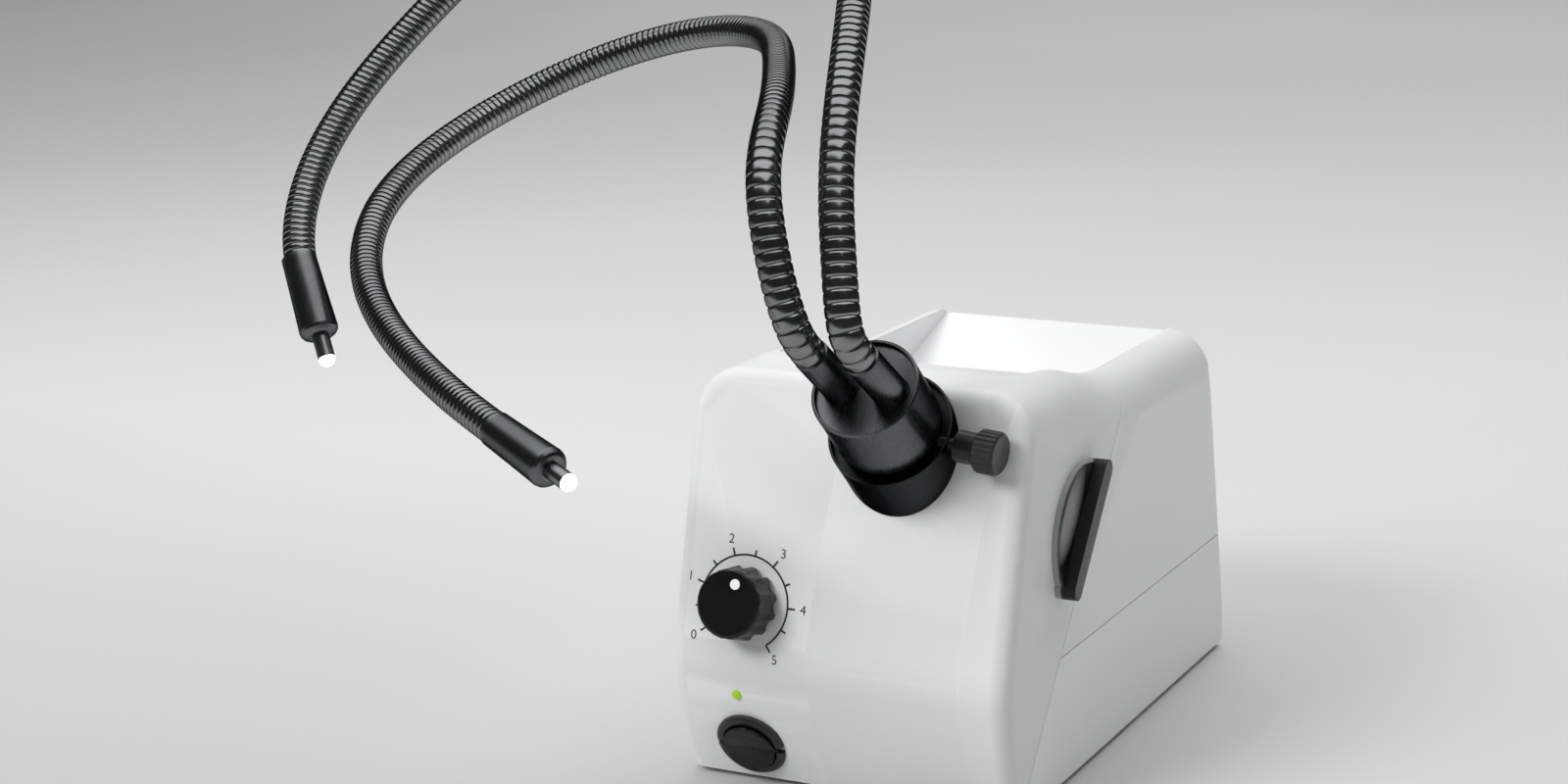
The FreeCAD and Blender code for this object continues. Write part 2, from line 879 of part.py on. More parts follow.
def blade_slot():
    inner = D.housing_width / 2 - D.shell_wall * 3
    return blade_solid(D.loose_fit, inner, D.housing_width / 2 + D.overrun)


def rear_slots(low, high):
    cuts = []
    for i in range(REAR_SLOTS):
        x = FAN_X + (i - (REAR_SLOTS - 1) / 2) * D.slot_pitch - D.slot_width / 2
        cuts.append(Part.makeBox(
            D.slot_width, D.housing_depth / 2, high - low,
            spot(x, FAN_Y + D.fan_depth, low),
        ))
    return cuts


def intake_slots():
    cuts = []
    for i in range(INTAKE_SLOTS):
        y = run(D.intake_run) + (i - (INTAKE_SLOTS - 1) / 2) * D.intake_pitch
        low = spot(PORT_X - D.intake_length / 2, y - D.intake_width / 2, -D.overrun)
        cuts.append(Part.makeBox(
            D.intake_length, D.intake_width, D.overrun * 3, low
        ))
    return cuts


def inlet_cut():
    return Part.makeBox(
        D.inlet_width + 2 * D.running_fit, D.housing_depth / 2,
        D.inlet_height + 2 * D.running_fit,
        spot(
            INLET_X - D.inlet_width / 2 - D.running_fit,
            FAN_Y + D.fan_depth,
            D.inlet_rise - D.inlet_height / 2 - D.running_fit,
        ),
    )


def base_tray():
    behind = seam_region(D.seam_gap, False)
    below = slab(-D.housing_top, D.seam_rise)
    shell = SKIN.cut(HOLLOW).common(behind).common(below)
    lip_slab = slab(D.seam_rise - D.lip_reach, D.seam_rise + D.lip_reach)
    clear_of_bezel = seam_region(D.lip_reach + D.seam_gap, False)
    parts = [LIP_RING.common(lip_slab).common(clear_of_bezel)]
    floor = D.foot_rise + D.shell_wall
    posts = []
    for place in post_places():
        post = upright(place, D.post_radius, floor - D.overrun / 4, D.seam_rise)
        posts.append(post.common(OUTER))
    shell = shell.fuse(parts + posts)
    cuts = rear_slots(D.slot_low, D.slot_high) + intake_slots() + [inlet_cut()]
    for place in post_places():
        cuts.append(upright(place, D.screw_radius + D.running_fit, 0, D.housing_top))
        head_top = D.foot_rise + D.screw_head_height
        cuts.append(upright(place, D.screw_head_radius + D.running_fit, 0, head_top))
    for place in foot_places():
        cuts.append(upright(place, D.foot_stud_radius + D.running_fit, 0, D.seam_rise / 2))
    return shell.cut(cuts)


def top_cover():
    behind = seam_region(D.seam_gap, False)
    above = slab(D.seam_rise + D.seam_gap, D.housing_top * 2)
    shell = SKIN.cut(HOLLOW).common(behind).common(above)
    low = D.seam_rise + D.seam_gap
    ears = []
    for place in post_places():
        side = 1 if place.x > 0 else -1
        depth = D.housing_width / 2 - abs(place.x) - D.shell_wall / 2
        start = place.x if side > 0 else place.x - depth
        bridge = Part.makeBox(
            depth, D.post_radius * 2, D.post_cap, spot(start, place.y - D.post_radius, low)
        )
        ear = upright(place, D.post_radius, low, low + D.post_cap).fuse(bridge)
        ears.append(ear)
    lip_room = LIP_RING.common(slab(0, D.seam_rise + D.lip_reach + D.loose_fit))
    ear_body = ears[0].fuse(ears[1:]).cut(lip_room)
    shell = shell.fuse(ear_body)
    cuts = rear_slots(D.slot_cover_low, D.slot_cover_high)
    for place in post_places():
        screw_top = low + D.post_cap - D.shell_wall
        cuts.append(upright(place, D.screw_radius + D.running_fit, 0, screw_top))
    return shell.cut(cuts)


def make_housing():
    formed("front_bezel", front_bezel())
    formed("base_tray", base_tray())
    formed("top_cover", top_cover())


# Feet and screws: one turned form each, repeated at its places
def repeated(name, source, places):
    shapes = []
    for place in places:
        copy = source.Shape.copy()
        copy.translate(place)
        shapes.append(copy)
    nodes.pop(source.Label)
    source.Label = name + "_form"
    formed(name, Part.makeCompound(shapes))


def make_feet():
    floor = S.foot_rise + S.shell_wall
    stud = S.foot_stud_radius
    form = turned("foot", FreeCAD.Placement(), (
        (ZERO, ZERO),
        (S.foot_radius - S.foot_taper, ZERO),
        (S.foot_radius, S.foot_rise),
        (stud, S.foot_rise),
        (stud, floor + S.running_fit),
        (S.foot_barb_radius, floor + S.running_fit),
        (stud, floor + S.foot_barb_height),
        (ZERO, floor + S.foot_barb_height),
    ))
    repeated("rubber_feet", form, foot_places())


def make_case_screws():
    head = S.foot_rise + S.screw_head_height
    form = turned("screw", FreeCAD.Placement(), (
        (ZERO, S.foot_rise + S.screw_drive_depth),
        (S.screw_drive_radius, S.foot_rise + S.screw_drive_depth),
        (S.screw_drive_radius, S.foot_rise),
        (S.screw_head_radius, S.foot_rise),
        (S.screw_head_radius, head),
        (S.screw_radius, head),
        (S.screw_radius, S.foot_rise + S.screw_length),
        (ZERO, S.foot_rise + S.screw_length),
    ))
    repeated("case_screws", form, post_places())


# Light port and clamp screw
def clamp_frame():
    swing = FreeCAD.Rotation(UP, D.clamp_swing).multiply(FreeCAD.Rotation(ALONG, 90.0))
    return shifted(PORT, 0, 0, D.clamp_height, swing)


def make_port():
    face, tail = S.port_face, -S.port_tail
    socket = turned("port_ring", PORT, (
        (S.port_bore, tail),
        (S.port_radius, tail),
        (S.port_radius, face - S.port_rim_drop),
        (S.port_radius - S.port_rim, face - S.port_rim_drop),
        (S.port_radius - S.port_rim, face - S.port_groove),
        (S.port_bore + S.port_land, face - S.port_groove),
        (S.port_bore + S.port_land, face),
        (S.port_bore + S.port_chamfer, face),
        (S.port_bore, face - S.port_chamfer),
    ))
    nodes.pop("port_ring")
    hole = rod(
        "clamp_hole", (ZERO, ZERO, ZERO), S.clamp_radius + S.running_fit,
        S.port_radius + S.overrun,
    )
    hole.Placement = clamp_frame()
    keep("port_socket", without("port_socket", socket, hole))
    turned("port_nut", PORT, (
        (S.port_radius + S.running_fit, tail),
        (S.port_nut_radius, tail),
        (S.port_nut_radius, tail + S.port_nut_height),
        (S.port_radius + S.running_fit, tail + S.port_nut_height),
    ))


def make_clamp_screw():
    frame = clamp_frame()
    bore = S.port_bore
    start = S.port_radius + S.clamp_neck_start
    neck_end = start + S.clamp_neck_length
    head_end = neck_end + S.clamp_head_length
    tip = bore + S.clamp_pad_length
    body = turned("clamp_screw", frame, (
        (ZERO, tip),
        (S.clamp_radius, tip),
        (S.clamp_radius, start),
        (S.clamp_neck_radius, start),
        (S.clamp_neck_radius, neck_end),
        (S.clamp_head_radius - S.clamp_head_round, neck_end),
        (S.clamp_head_radius, neck_end + S.clamp_head_round),
        (S.clamp_head_radius, head_end - S.clamp_head_round),
        (S.clamp_head_radius - S.clamp_head_round, head_end),
        (ZERO, head_end),
    ))
    head_cut(body, neck_end, head_end)
    turned("clamp_pad", frame, (
        (ZERO, bore + S.running_fit),
        (S.clamp_pad_radius, bore + S.running_fit),
        (S.clamp_pad_radius, tip - S.running_fit),
        (ZERO, tip - S.running_fit),
    ))


def head_cut(body, low, high):
    """Straight grooves round the head of the clamp screw."""
    before = body.Shape.Volume
    sketch = new_sketch(body, "clamp_flute_outline", "XY_Plane")
    radius, out = S.clamp_flute_radius, S.clamp_head_radius + S.clamp_flute_radius / 2
    sketch.AttachmentOffset = FreeCAD.Placement(spot(0, 0, low.value), FreeCAD.Rotation())
    sketch.setExpression("AttachmentOffset.Base.z", low.text)
    sketch.addGeometry(Part.Circle(spot(out.value, 0, 0), UP, radius.value))
    number = sketch.addConstraint(Sketcher.Constraint("Radius", 0, radius.value))
    bind(sketch, number, radius)
    hold_point(sketch, 0, 3, out, ZERO)
    groove = body.newObject("PartDesign::Pocket", "clamp_flute")
    groove.Profile = sketch
    groove.Type = 0
    groove.Length = (high - low).value
    groove.setExpression("Length", (high - low).text)
    groove.Reversed = True
    doc.recompute()
    around = body.newObject("PartDesign::PolarPattern", "clamp_flutes")
    around.Originals = [groove]
    around.Axis = (sketch, ["N_Axis"])
    around.Angle = 360.0
    around.Occurrences = CLAMP_FLUTES
    body.Tip = around
    doc.recompute()
    if body.Shape.Volume >= before:
        raise ValueError("the clamp screw has no flutes")


# Light guide head
COLLAR_TOP = D.port_face + D.loose_fit + D.collar_length


def make_guide_head():
    base = S.port_face + S.loose_fit
    top = base + S.collar_length
    inner = S.ferrule_radius - S.ferrule_wall
    ferrule_top = top - S.collar_recess * 2 - S.running_fit
    turned("guide_ferrule", PORT, (
        (inner, base - S.ferrule_insert),
        (S.ferrule_radius, base - S.ferrule_insert),
        (S.ferrule_radius, ferrule_top),
        (inner, ferrule_top),
    ))
    turned("guide_collar", PORT, (
        (S.ferrule_radius + S.running_fit, base),
        (S.collar_radius - S.port_chamfer, base),
        (S.collar_radius, base + S.port_chamfer),
        (S.collar_radius, top - S.collar_rim / 2),
        (S.collar_radius - S.collar_rim / 2, top),
        (S.collar_radius - S.collar_rim, top),
        (S.collar_radius - S.collar_rim, top - S.collar_recess),
        (S.ferrule_radius + S.running_fit, top - S.collar_recess),
    ))
    cap = turned("cap_disc", PORT, (
        (ZERO, top - S.collar_recess * 2),
        (S.ferrule_radius, top - S.collar_recess * 2),
        (S.ferrule_radius, top - S.collar_recess + S.running_fit),
        (S.collar_radius - S.collar_rim - S.running_fit, top - S.collar_recess + S.running_fit),
        (S.collar_radius - S.collar_rim - S.running_fit, top - S.collar_recess / 2),
        (ZERO, top - S.collar_recess / 2),
    ))
    nodes.pop("cap_disc")
    holes = []
    for side, sign in (("left", -1), ("right", 1)):
        frame = sleeve_frame(sign)
        pocket = rod(
            "sleeve_pocket_" + side, (ZERO, ZERO, ZERO), S.sleeve_radius + S.running_fit,
            S.sleeve_length,
        )
        pocket.Placement = shifted(frame, 0, 0, -D.sleeve_seat - D.running_fit)
        hole = rod(
            "fibre_hole_" + side, (ZERO, ZERO, ZERO), S.bundle_radius + S.running_fit,
            S.sleeve_length,
        )
        hole.Placement = shifted(frame, 0, 0, -D.sleeve_length / 2)
        holes += [pocket, hole]
    keep("guide_cap", without("guide_cap", cap, joined("sleeve_holes", holes)))
    core = S.ferrule_radius - S.ferrule_wall
    turned("guide_entry_core", PORT, (
        (ZERO, base - S.ferrule_insert + S.exit_face_dome),
        (core - S.running_fit, base - S.ferrule_insert + S.exit_face_dome),
        (core - S.running_fit, ferrule_top),
        (ZERO, ferrule_top),
    ))


def sleeve_frame(sign):
    """Where one sleeve stands in the collar: local Z runs out along the sleeve."""
    floor = COLLAR_TOP - D.collar_recess / 2
    lean = FreeCAD.Rotation(ALONG, -D.sleeve_lean)
    return shifted(PORT, sign * D.sleeve_spread, 0, floor, lean)


def make_sleeves():
    for side, sign in (("left", -1), ("right", 1)):
        start = -S.sleeve_seat
        bore = S.hose_bore
        turned("neck_sleeve_" + side, sleeve_frame(sign), (
            (bore, start),
            (S.sleeve_radius, start),
            (S.sleeve_radius, S.sleeve_length - S.sleeve_wall),
            (S.sleeve_radius - S.sleeve_wall, S.sleeve_length),
            (bore, S.sleeve_length),
        ))


# Routes: straight runs joined by tangent arcs
class Route:
    """A path of straight runs and arcs that can be cut and measured along its length."""

    def __init__(self, points):
        self.pieces = []
        self.length = 0.0
        self.radii = []
        start = points[0]
        for before, corner, after in zip(points, points[1:], points[2:]):
            into = (corner - before).normalize()
            out = (after - corner).normalize()
            turn = into.getAngle(out)
            near = ARC_SHARE * min((corner - before).Length, (after - corner).Length)
            radius = near / math.tan(turn / 2)
            self.radii.append(radius)
            self.add_line(start, corner - into * near)
            inward = (out - into * into.dot(out)).normalize()
            self.add_arc(corner - into * near, into, inward, radius, turn)
            start = corner + out * near
        self.add_line(start, points[-1])

    def add_line(self, start, end):
        heading = (end - start).normalize()
        self.pieces.append((self.length, (end - start).Length, start, heading, None, 0.0))
        self.length += (end - start).Length

    def add_arc(self, start, heading, inward, radius, turn):
        self.pieces.append((self.length, radius * turn, start, heading, inward, radius))
        self.length += radius * turn

    def on_piece(self, piece, distance):
        start, heading, inward, radius = piece[2:]
        along = distance - piece[0]
        if inward is None:
            return start + heading * along, heading
        angle = along / radius
        place = start + heading * (radius * math.sin(angle))
        place = place + inward * (radius * (1 - math.cos(angle)))
        return place, heading * math.cos(angle) + inward * math.sin(angle)

    def at(self, distance):
        for piece in self.pieces:
            if distance <= piece[0] + piece[1]:
                return self.on_piece(piece, distance)
        return self.on_piece(self.pieces[-1], distance)

    def wire(self, low, high):
        edges = []
        for piece in self.pieces:
            begin, end = max(low, piece[0]), min(high, piece[0] + piece[1])
            if end - begin < D.running_fit / 10:
                continue
            first = self.on_piece(piece, begin)[0]
            last = self.on_piece(piece, end)[0]
            if piece[4] is None:
                edges.append(Part.LineSegment(first, last).toShape())
                continue
            middle = self.on_piece(piece, (begin + end) / 2)[0]
            edges.append(Part.Arc(first, middle, last).toShape())
        return Part.Wire(edges)


def neck_route(sign, shares):
    frame = sleeve_frame(sign)
    start = frame.multVec(spot(0, 0, D.sleeve_length))
    origin = frame.multVec(spot(0, 0, 0))
    heading = (start - origin).normalize()
    points = [start, start + heading * (ROUTE_LEAD_SHARE * D.neck_span)]
    for share in shares:
        points.append(start + spot(*share) * D.neck_span)
    return Route(points)


def ring(place, heading, side, radius):
    """A circle square to the route whose start lies on the steady side direction."""
    circle = Part.Circle(spot(0, 0, 0), UP, radius).toShape()
    turn = FreeCAD.Rotation(side, heading.cross(side), heading, "ZXY")
    circle.Placement = FreeCAD.Placement(place, turn)
    return Part.Wire([circle])


def ribbed_tube(route, low, high):
    """A hose with a straight bore and rounded ribs between two places on the route."""
    count = max(1, round((high - low) / D.rib_pitch))
    pitch = (high - low) / count
    crest, groove = D.hose_radius, D.hose_radius - D.hose_groove
    rib = ((0.0, groove), (0.25, crest), (0.75, crest), (1.0, groove))
    side = spot(1, 0, 0)
    outer, inner = [], []
    for i in range(count):
        for j, (share, radius) in enumerate(rib):
            if i and j == 0:
                continue
            place, heading = route.at(low + (i + share) * pitch)
            side = (side - heading * side.dot(heading)).normalize()
            outer.append(ring(place, heading, side, radius))
            if (i == 0 and j == 0) or j == 3:
                inner.append(ring(place, heading, side, D.hose_bore))
    faces = Part.makeLoft(outer, False, True).Faces
    faces += Part.makeLoft(inner, False, True).Faces
    for a, b in ((outer[0], inner[0]), (outer[-1], inner[-1])):
        faces.append(Part.makeFace([a, b], "Part::FaceMakerBullseye"))
    shell = Part.makeShell(faces)
    shell.sewShape()
    solid = Part.makeSolid(shell)
    if solid.Volume < 0:
        solid.reverse()
    return solid, count


def bundle(route, low, high, cup, ball):
    """The fibre core of one stretch, with the halves of its knuckles at its ends."""
    path = route.wire(low, high)
    place, heading = route.at(low)
    side = ACROSS - heading * ACROSS.dot(heading)
    circle = ring(place, heading, side.normalize(), D.bundle_radius)
    core = path.makePipeShell([circle], True, False)
    reach = D.knuckle_gap / 2
    if ball:
        core = core.fuse(Part.makeSphere(D.knuckle_radius, route.at(high + reach)[0]))
    if cup:
        centre = route.at(low - reach)[0]
        core = core.cut(Part.makeSphere(D.knuckle_radius + D.running_fit, centre))
    return core


def make_neck(side, sign, shares, bend_shares):
    route = neck_route(sign, shares)
    print(side, "arm", round(route.length, 1), "mm, tightest arc", round(min(route.radii), 1))
    stops = [0.0] + [share * route.length for share in bend_shares] + [route.length]
    half = D.knuckle_gap / 2
    last = len(stops) - 2
    for i in range(last + 1):
        low = stops[i] + (half if i else 0.0)
        high = stops[i + 1] - (half if i < last else 0.0)
        hose, ribs = ribbed_tube(route, low, high)
        fibres = bundle(route, low, high, i > 0, i < last)
        if i == 0:
            slope = math.sin(math.radians(D.sleeve_lean))
            start = D.bundle_radius * slope - D.collar_recess * 1.5 + D.running_fit
            frame = sleeve_frame(sign)
            fibres = fibres.fuse(along_frame(frame, D.bundle_radius, start, D.sleeve_length))
        formed("hose_%s_%d" % (side, i + 1), hose)
        formed("fibres_%s_%d" % (side, i + 1), fibres)
        print("stretch", i + 1, "has", ribs, "ribs")
    for stop in stops[1:-1]:
        place, heading = route.at(stop)
        print("bend", [round(v, 3) for v in place], [round(v, 4) for v in heading])
    make_tip(side, route)


def make_tip(side, route):
    place, heading = route.at(route.length)
    print("end", [round(v, 3) for v in place], [round(v, 4) for v in heading])
    frame = FreeCAD.Placement(place, FreeCAD.Rotation(UP, heading))
    grip, length = -S.tip_sleeve_grip, S.tip_sleeve_length - S.tip_sleeve_grip
    hold = S.hose_radius + S.running_fit
    turned("tip_sleeve_" + side, frame, (
        (hold, grip),
        (hold + S.sleeve_wall / 2, grip),
        (hold + S.sleeve_wall, S.running_fit),
        *rounded(S.tip_sleeve_radius, length, S.tip_sleeve_round),
        (S.tip_root_radius + S.running_fit, length),
        (S.tip_root_radius + S.running_fit, S.running_fit),
        (hold, S.running_fit),
    ))
    root = S.running_fit * 2
    end = length + S.tip_ferrule_length
    glass = S.exit_rod_radius
    turned("tip_ferrule_" + side, frame, (
        (glass + S.running_fit, root),
        (S.tip_root_radius, root),
        (S.tip_root_radius, length + S.running_fit),
        (S.tip_ferrule_radius, length + S.running_fit),
        (S.tip_ferrule_radius, end),
        (glass + S.running_fit, end),
    ))
    lens_top = end + S.running_fit + S.exit_lens_height
    turned("light_exit_" + side, frame, (
        (ZERO, root),
        (glass, root),
        (glass, end + S.running_fit),
        *rounded(S.exit_lens_radius, lens_top, S.exit_lens_height),
        (ZERO, lens_top),
    ))


# Brightness control
def make_control():
    gap, top = S.knob_gap, S.knob_gap + S.knob_height
    body = turned("control_knob", KNOB, (
        (S.spindle_radius + S.running_fit, gap),
        (S.knob_radius, gap),
        *rounded(S.knob_top_radius, top, S.knob_round),
        (ZERO, top),
        (ZERO, gap + S.knob_socket),
        (S.spindle_radius + S.running_fit, gap + S.knob_socket),
    ))
    flute(
        body, "control_knob", KNOB_FLUTES, S.knob_flute_radius,
        S.knob_radius + S.knob_flute_radius - S.knob_flute_sink, top,
    )
    turn = math.radians(D.dot_turn)
    face = D.knob_gap + D.knob_height
    place = shifted(KNOB, -D.dot_out * math.sin(turn), D.dot_out * math.cos(turn), face)
    turned("knob_dot", place, (
        (ZERO, S.running_fit),
        (S.dot_radius, S.running_fit),
        (S.dot_radius, S.dot_height),
        (ZERO, S.dot_height),
    ))
    below, above = -S.spindle_below, gap + S.knob_socket - S.running_fit
    turned("knob_spindle", KNOB, (
        (ZERO, below),
        (S.spindle_radius, below),
        (S.spindle_radius, above),
        (ZERO, above),
    ))
    case = below - S.pot_height + S.spindle_below / 2
    ring_low = -S.shell_wall - S.overrun / 4
    turned("brightness_control", KNOB, (
        (ZERO, case),
        (S.pot_radius, case),
        (S.pot_radius, ring_low),
        (S.bush_radius, ring_low),
        (S.bush_radius, S.bush_above),
        (S.spindle_radius + S.running_fit, S.bush_above),
        (S.spindle_radius + S.running_fit, below - S.running_fit),
        (ZERO, below - S.running_fit),
    ))


# Status light and power switch
def make_status_light():
    back = -S.shell_wall - S.running_fit
    turned("status_light", LIGHT, (
        (ZERO, -S.light_length),
        (S.light_body_radius, -S.light_length),
        (S.light_body_radius, back - S.running_fit),
        (S.light_radius, back - S.running_fit),
        (S.light_radius, S.light_proud / 2),
        (S.light_radius / 2, S.light_proud),
        (ZERO, S.light_proud),
    ))


def make_switch():
    seat, face = -S.switch_seat, S.switch_flange - S.switch_seat
    body_end = -S.switch_body_length
    floor = body_end + S.switch_body_wall * 3
    case = turned("switch_ring", SWITCH, (
        (ZERO, body_end),
        (S.switch_body_radius, body_end),
        (S.switch_body_radius, seat + S.running_fit),
        (S.switch_radius, seat + S.running_fit),
        (S.switch_radius, face - S.clamp_head_round),
        (S.switch_radius - S.clamp_head_round, face),
        (S.switch_bore + S.running_fit, face),
        (S.switch_bore, face - S.running_fit),
        (S.switch_bore, floor),
        (ZERO, floor),
    ))
    nodes.pop("switch_ring")
    hole = rod(
        "rocker_pin_hole", (ZERO, ZERO, ZERO), S.rocker_pin_radius + S.running_fit,
        S.switch_radius * 2,
    )
    turn = FreeCAD.Rotation(ALONG, 90.0)
    hole.Placement = shifted(SWITCH, -D.switch_radius, 0, 0, turn)
    keep("switch_case", without("switch_case", case, hole))
    formed("switch_rocker", rocker_shape(), SWITCH)


def rocker_shape():
    """A rounded rocker with two faces that meet in the middle, tipped to one side."""
    face = D.switch_flange - D.switch_seat
    ball = Part.makeSphere(D.rocker_radius)
    wide = D.rocker_radius * 2
    tip = math.tan(math.radians(D.rocker_rest))
    low = -D.rocker_depth
    rise = D.rocker_proud + face
    side = D.rocker_radius
    corners = (
        spot(-wide / 2, -side, low),
        spot(-wide / 2, side, low),
        spot(-wide / 2, side, rise + side * tip),
        spot(-wide / 2, 0, rise),
        spot(-wide / 2, -side, rise + side * tip),
    )
    wedge = Part.Face(Part.makePolygon(list(corners) + [corners[0]]))
    pin = Part.makeCylinder(
        D.rocker_pin_radius, 2 * D.rocker_pin_reach, spot(-D.rocker_pin_reach, 0, 0), ACROSS
    )
    solid = wedge.extrude(ACROSS * wide).common(ball).fuse(pin)
    solid.rotate(spot(0, 0, 0), ACROSS, -D.rocker_rest)
    return solid


# Filter slide
def oblong(length, width, height, low):
    """A flat block with round ends, long along its local Y axis."""
    reach = (length - width) / 2
    block = Part.makeBox(width, 2 * reach, height, spot(-width / 2, -reach, low))
    ends = [
        Part.makeCylinder(width / 2, height, spot(0, y, low)) for y in (-reach, reach)
    ]
    return block.fuse(ends).removeSplitter()


def bowed_plate(length, width, height, low):
    """A flat block with a straight back edge and a bowed front edge."""
    chord = width - D.slide_rib_width / 2
    corners = (spot(chord, -length / 2, low), spot(0, 0, low), spot(chord, length / 2, low))
    edges = [
        Part.Arc(*corners).toShape(),
        Part.LineSegment(corners[2], corners[0]).toShape(),
    ]
    plate = Part.Face(Part.Wire(edges)).extrude(UP * height)
    plate.translate(spot(-width / 2, 0, 0))
    return plate


def make_filter_slide():
    """The grip on the cheek: a scooped plate with a raised rib along its back edge."""
    length, width = D.slide_length, D.slide_width
    plate_length = length - D.slide_rib_width / 2
    plate = bowed_plate(plate_length, width, D.slide_proud - D.running_fit, D.running_fit)
    rib = oblong(length, D.slide_rib_width, D.slide_rib_proud, D.running_fit)
    rib.translate(spot(width / 2 - D.slide_rib_width / 2, 0, 0))
    span, sweep = D.slide_scoop_span, D.slide_scoop_sweep
    middle = spot(-D.slide_rib_width / 2, 0, D.slide_proud - D.slide_scoop + span)
    scoop = Part.makeTorus(span - sweep, sweep, middle, ACROSS)
    handle = plate.cut(scoop).fuse(rib).removeSplitter()
    handle.Placement = FreeCAD.Placement(
        spot(D.housing_width / 2, run(D.slide_run), D.slide_rise), handle_turn()
    )
    formed("filter_handle", handle)
    inner = PORT_X - D.blade_tail
    blade = blade_solid(0, inner, D.housing_width / 2 + D.running_fit)
    hole = along_frame(PORT, D.filter_radius + D.running_fit, -D.blade_depth * 2, 0)
    formed("filter_blade", blade.cut(hole))
    turned("filter_glass", shifted(PORT, 0, 0, -D.blade_depth), (
        (ZERO, -S.filter_thick / 2),
        (S.filter_radius, -S.filter_thick / 2),
        (S.filter_radius, S.filter_thick / 2),
        (ZERO, S.filter_thick / 2),
    ))


def handle_turn():
    """Local Z points out to the right and local Y runs up along the leaning grip."""
    lean = math.radians(D.slide_lean)
    up = spot(0, math.sin(lean), math.cos(lean))
    return FreeCAD.Rotation(up.cross(ACROSS), up, ACROSS, "ZYX")


# Light engine
def make_light_engine():
    tail = -S.port_tail
    end = tail - S.tube_length
    seat = -S.lens_depth
    bore, lens_bore = S.tube_radius - S.tube_wall, S.lens_radius + S.running_fit
    ledge = lens_bore - S.lens_ring
    tube = turned("tube_form", PORT, (
        (bore, end),
        (S.tube_radius, end),
        (S.tube_radius, tail - S.running_fit),
        (bore, tail - S.running_fit),
        (bore, seat + S.lens_edge),
        (lens_bore, seat + S.lens_edge),
        (lens_bore, seat - S.running_fit),
        (ledge, seat - S.running_fit),
        (ledge, seat - S.lens_ring),
        (bore, seat - S.lens_ring),
    ))
    nodes.pop("tube_form")
    cut = doc.addObject("Part::Feature", "tube_slot")
    reach = D.tube_radius + D.overrun
    cut.Shape = blade_solid(D.loose_fit, PORT_X - reach, D.housing_width)
    keep("optic_tube", without("optic_tube", tube, cut))
    bulge = S.lens_thick - S.lens_edge
    turned("condenser_lens", PORT, (
        (ZERO, seat),
        (S.lens_radius, seat),
        (S.lens_radius, seat + S.lens_edge),
        *((S.lens_radius * out, seat + S.lens_edge + bulge * up) for out, up in LENS_SHARES),
        (ZERO, seat + S.lens_thick),
    ))
    board_top = end - S.running_fit
    turned("led_board", PORT, (
        (ZERO, board_top - S.board_thick),
        (S.board_radius, board_top - S.board_thick),
        (S.board_radius, board_top),
        (ZERO, board_top),
    ))
    half = S.emitter_side / 2
    emitter = box(
        "led_emitter", (-half, -half, board_top),
        (S.emitter_side, S.emitter_side, S.emitter_height),
    )
    wrapped("led_emitter", emitter, PORT)
    make_heat_sink(board_top - S.board_thick)


def wrapped(name, item, frame):
    """Moves a block that was made in its own frame to its frame in the part."""
    doc.recompute()
    item.Label = name + "_block"
    moved = doc.addObject("Part::Compound", name)
    moved.Links = [item]
    return keep(name, moved, frame)


def make_heat_sink(top):
    side = S.sink_side
    plate = box(
        "sink_plate", (-side / 2, -side / 2, top - S.sink_base), (side, side, S.sink_base)
    )
    fins = [plate]
    step = (side - S.sink_fin_thick) / (SINK_FINS - 1)
    for i in range(SINK_FINS):
        fins.append(box(
            "sink_fin_%d" % i,
            (-side / 2 + step * i, -side / 2, top - S.sink_base - S.sink_fin_height),
            (S.sink_fin_thick, side, S.sink_fin_height + S.sink_base / 2),
        ))
    keep("heat_sink", joined("heat_sink", fins), PORT)
    make_sink_bracket(top.value)


def make_sink_bracket(top):
    """A leg from the tray floor to the underside of the heat sink plate's front edge."""
    edge = PORT.multVec(spot(0, -D.sink_side / 2, top - D.sink_base / 2))
    floor = D.foot_rise + D.shell_wall
    width = D.sink_bracket_width
    leg = Part.makeBox(
        width, D.sink_bracket_thick, edge.z - floor + D.sink_base,
        spot(PORT_X - width / 2, edge.y - D.sink_bracket_thick / 2, floor),
    )
    foot = Part.makeBox(
        width, D.sink_bracket_width, D.sink_bracket_thick,
        spot(PORT_X - width / 2, edge.y - D.sink_bracket_width, floor),
    )
    leg = leg.fuse(foot).removeSplitter()
    room = Part.makeBox(
        D.sink_side * 2, D.sink_side * 2, D.sink_side * 4,
        spot(-D.sink_side, -D.sink_side / 2, -D.sink_side * 2),
    )
    room.Placement = PORT
    formed("sink_bracket", leg.cut(room))


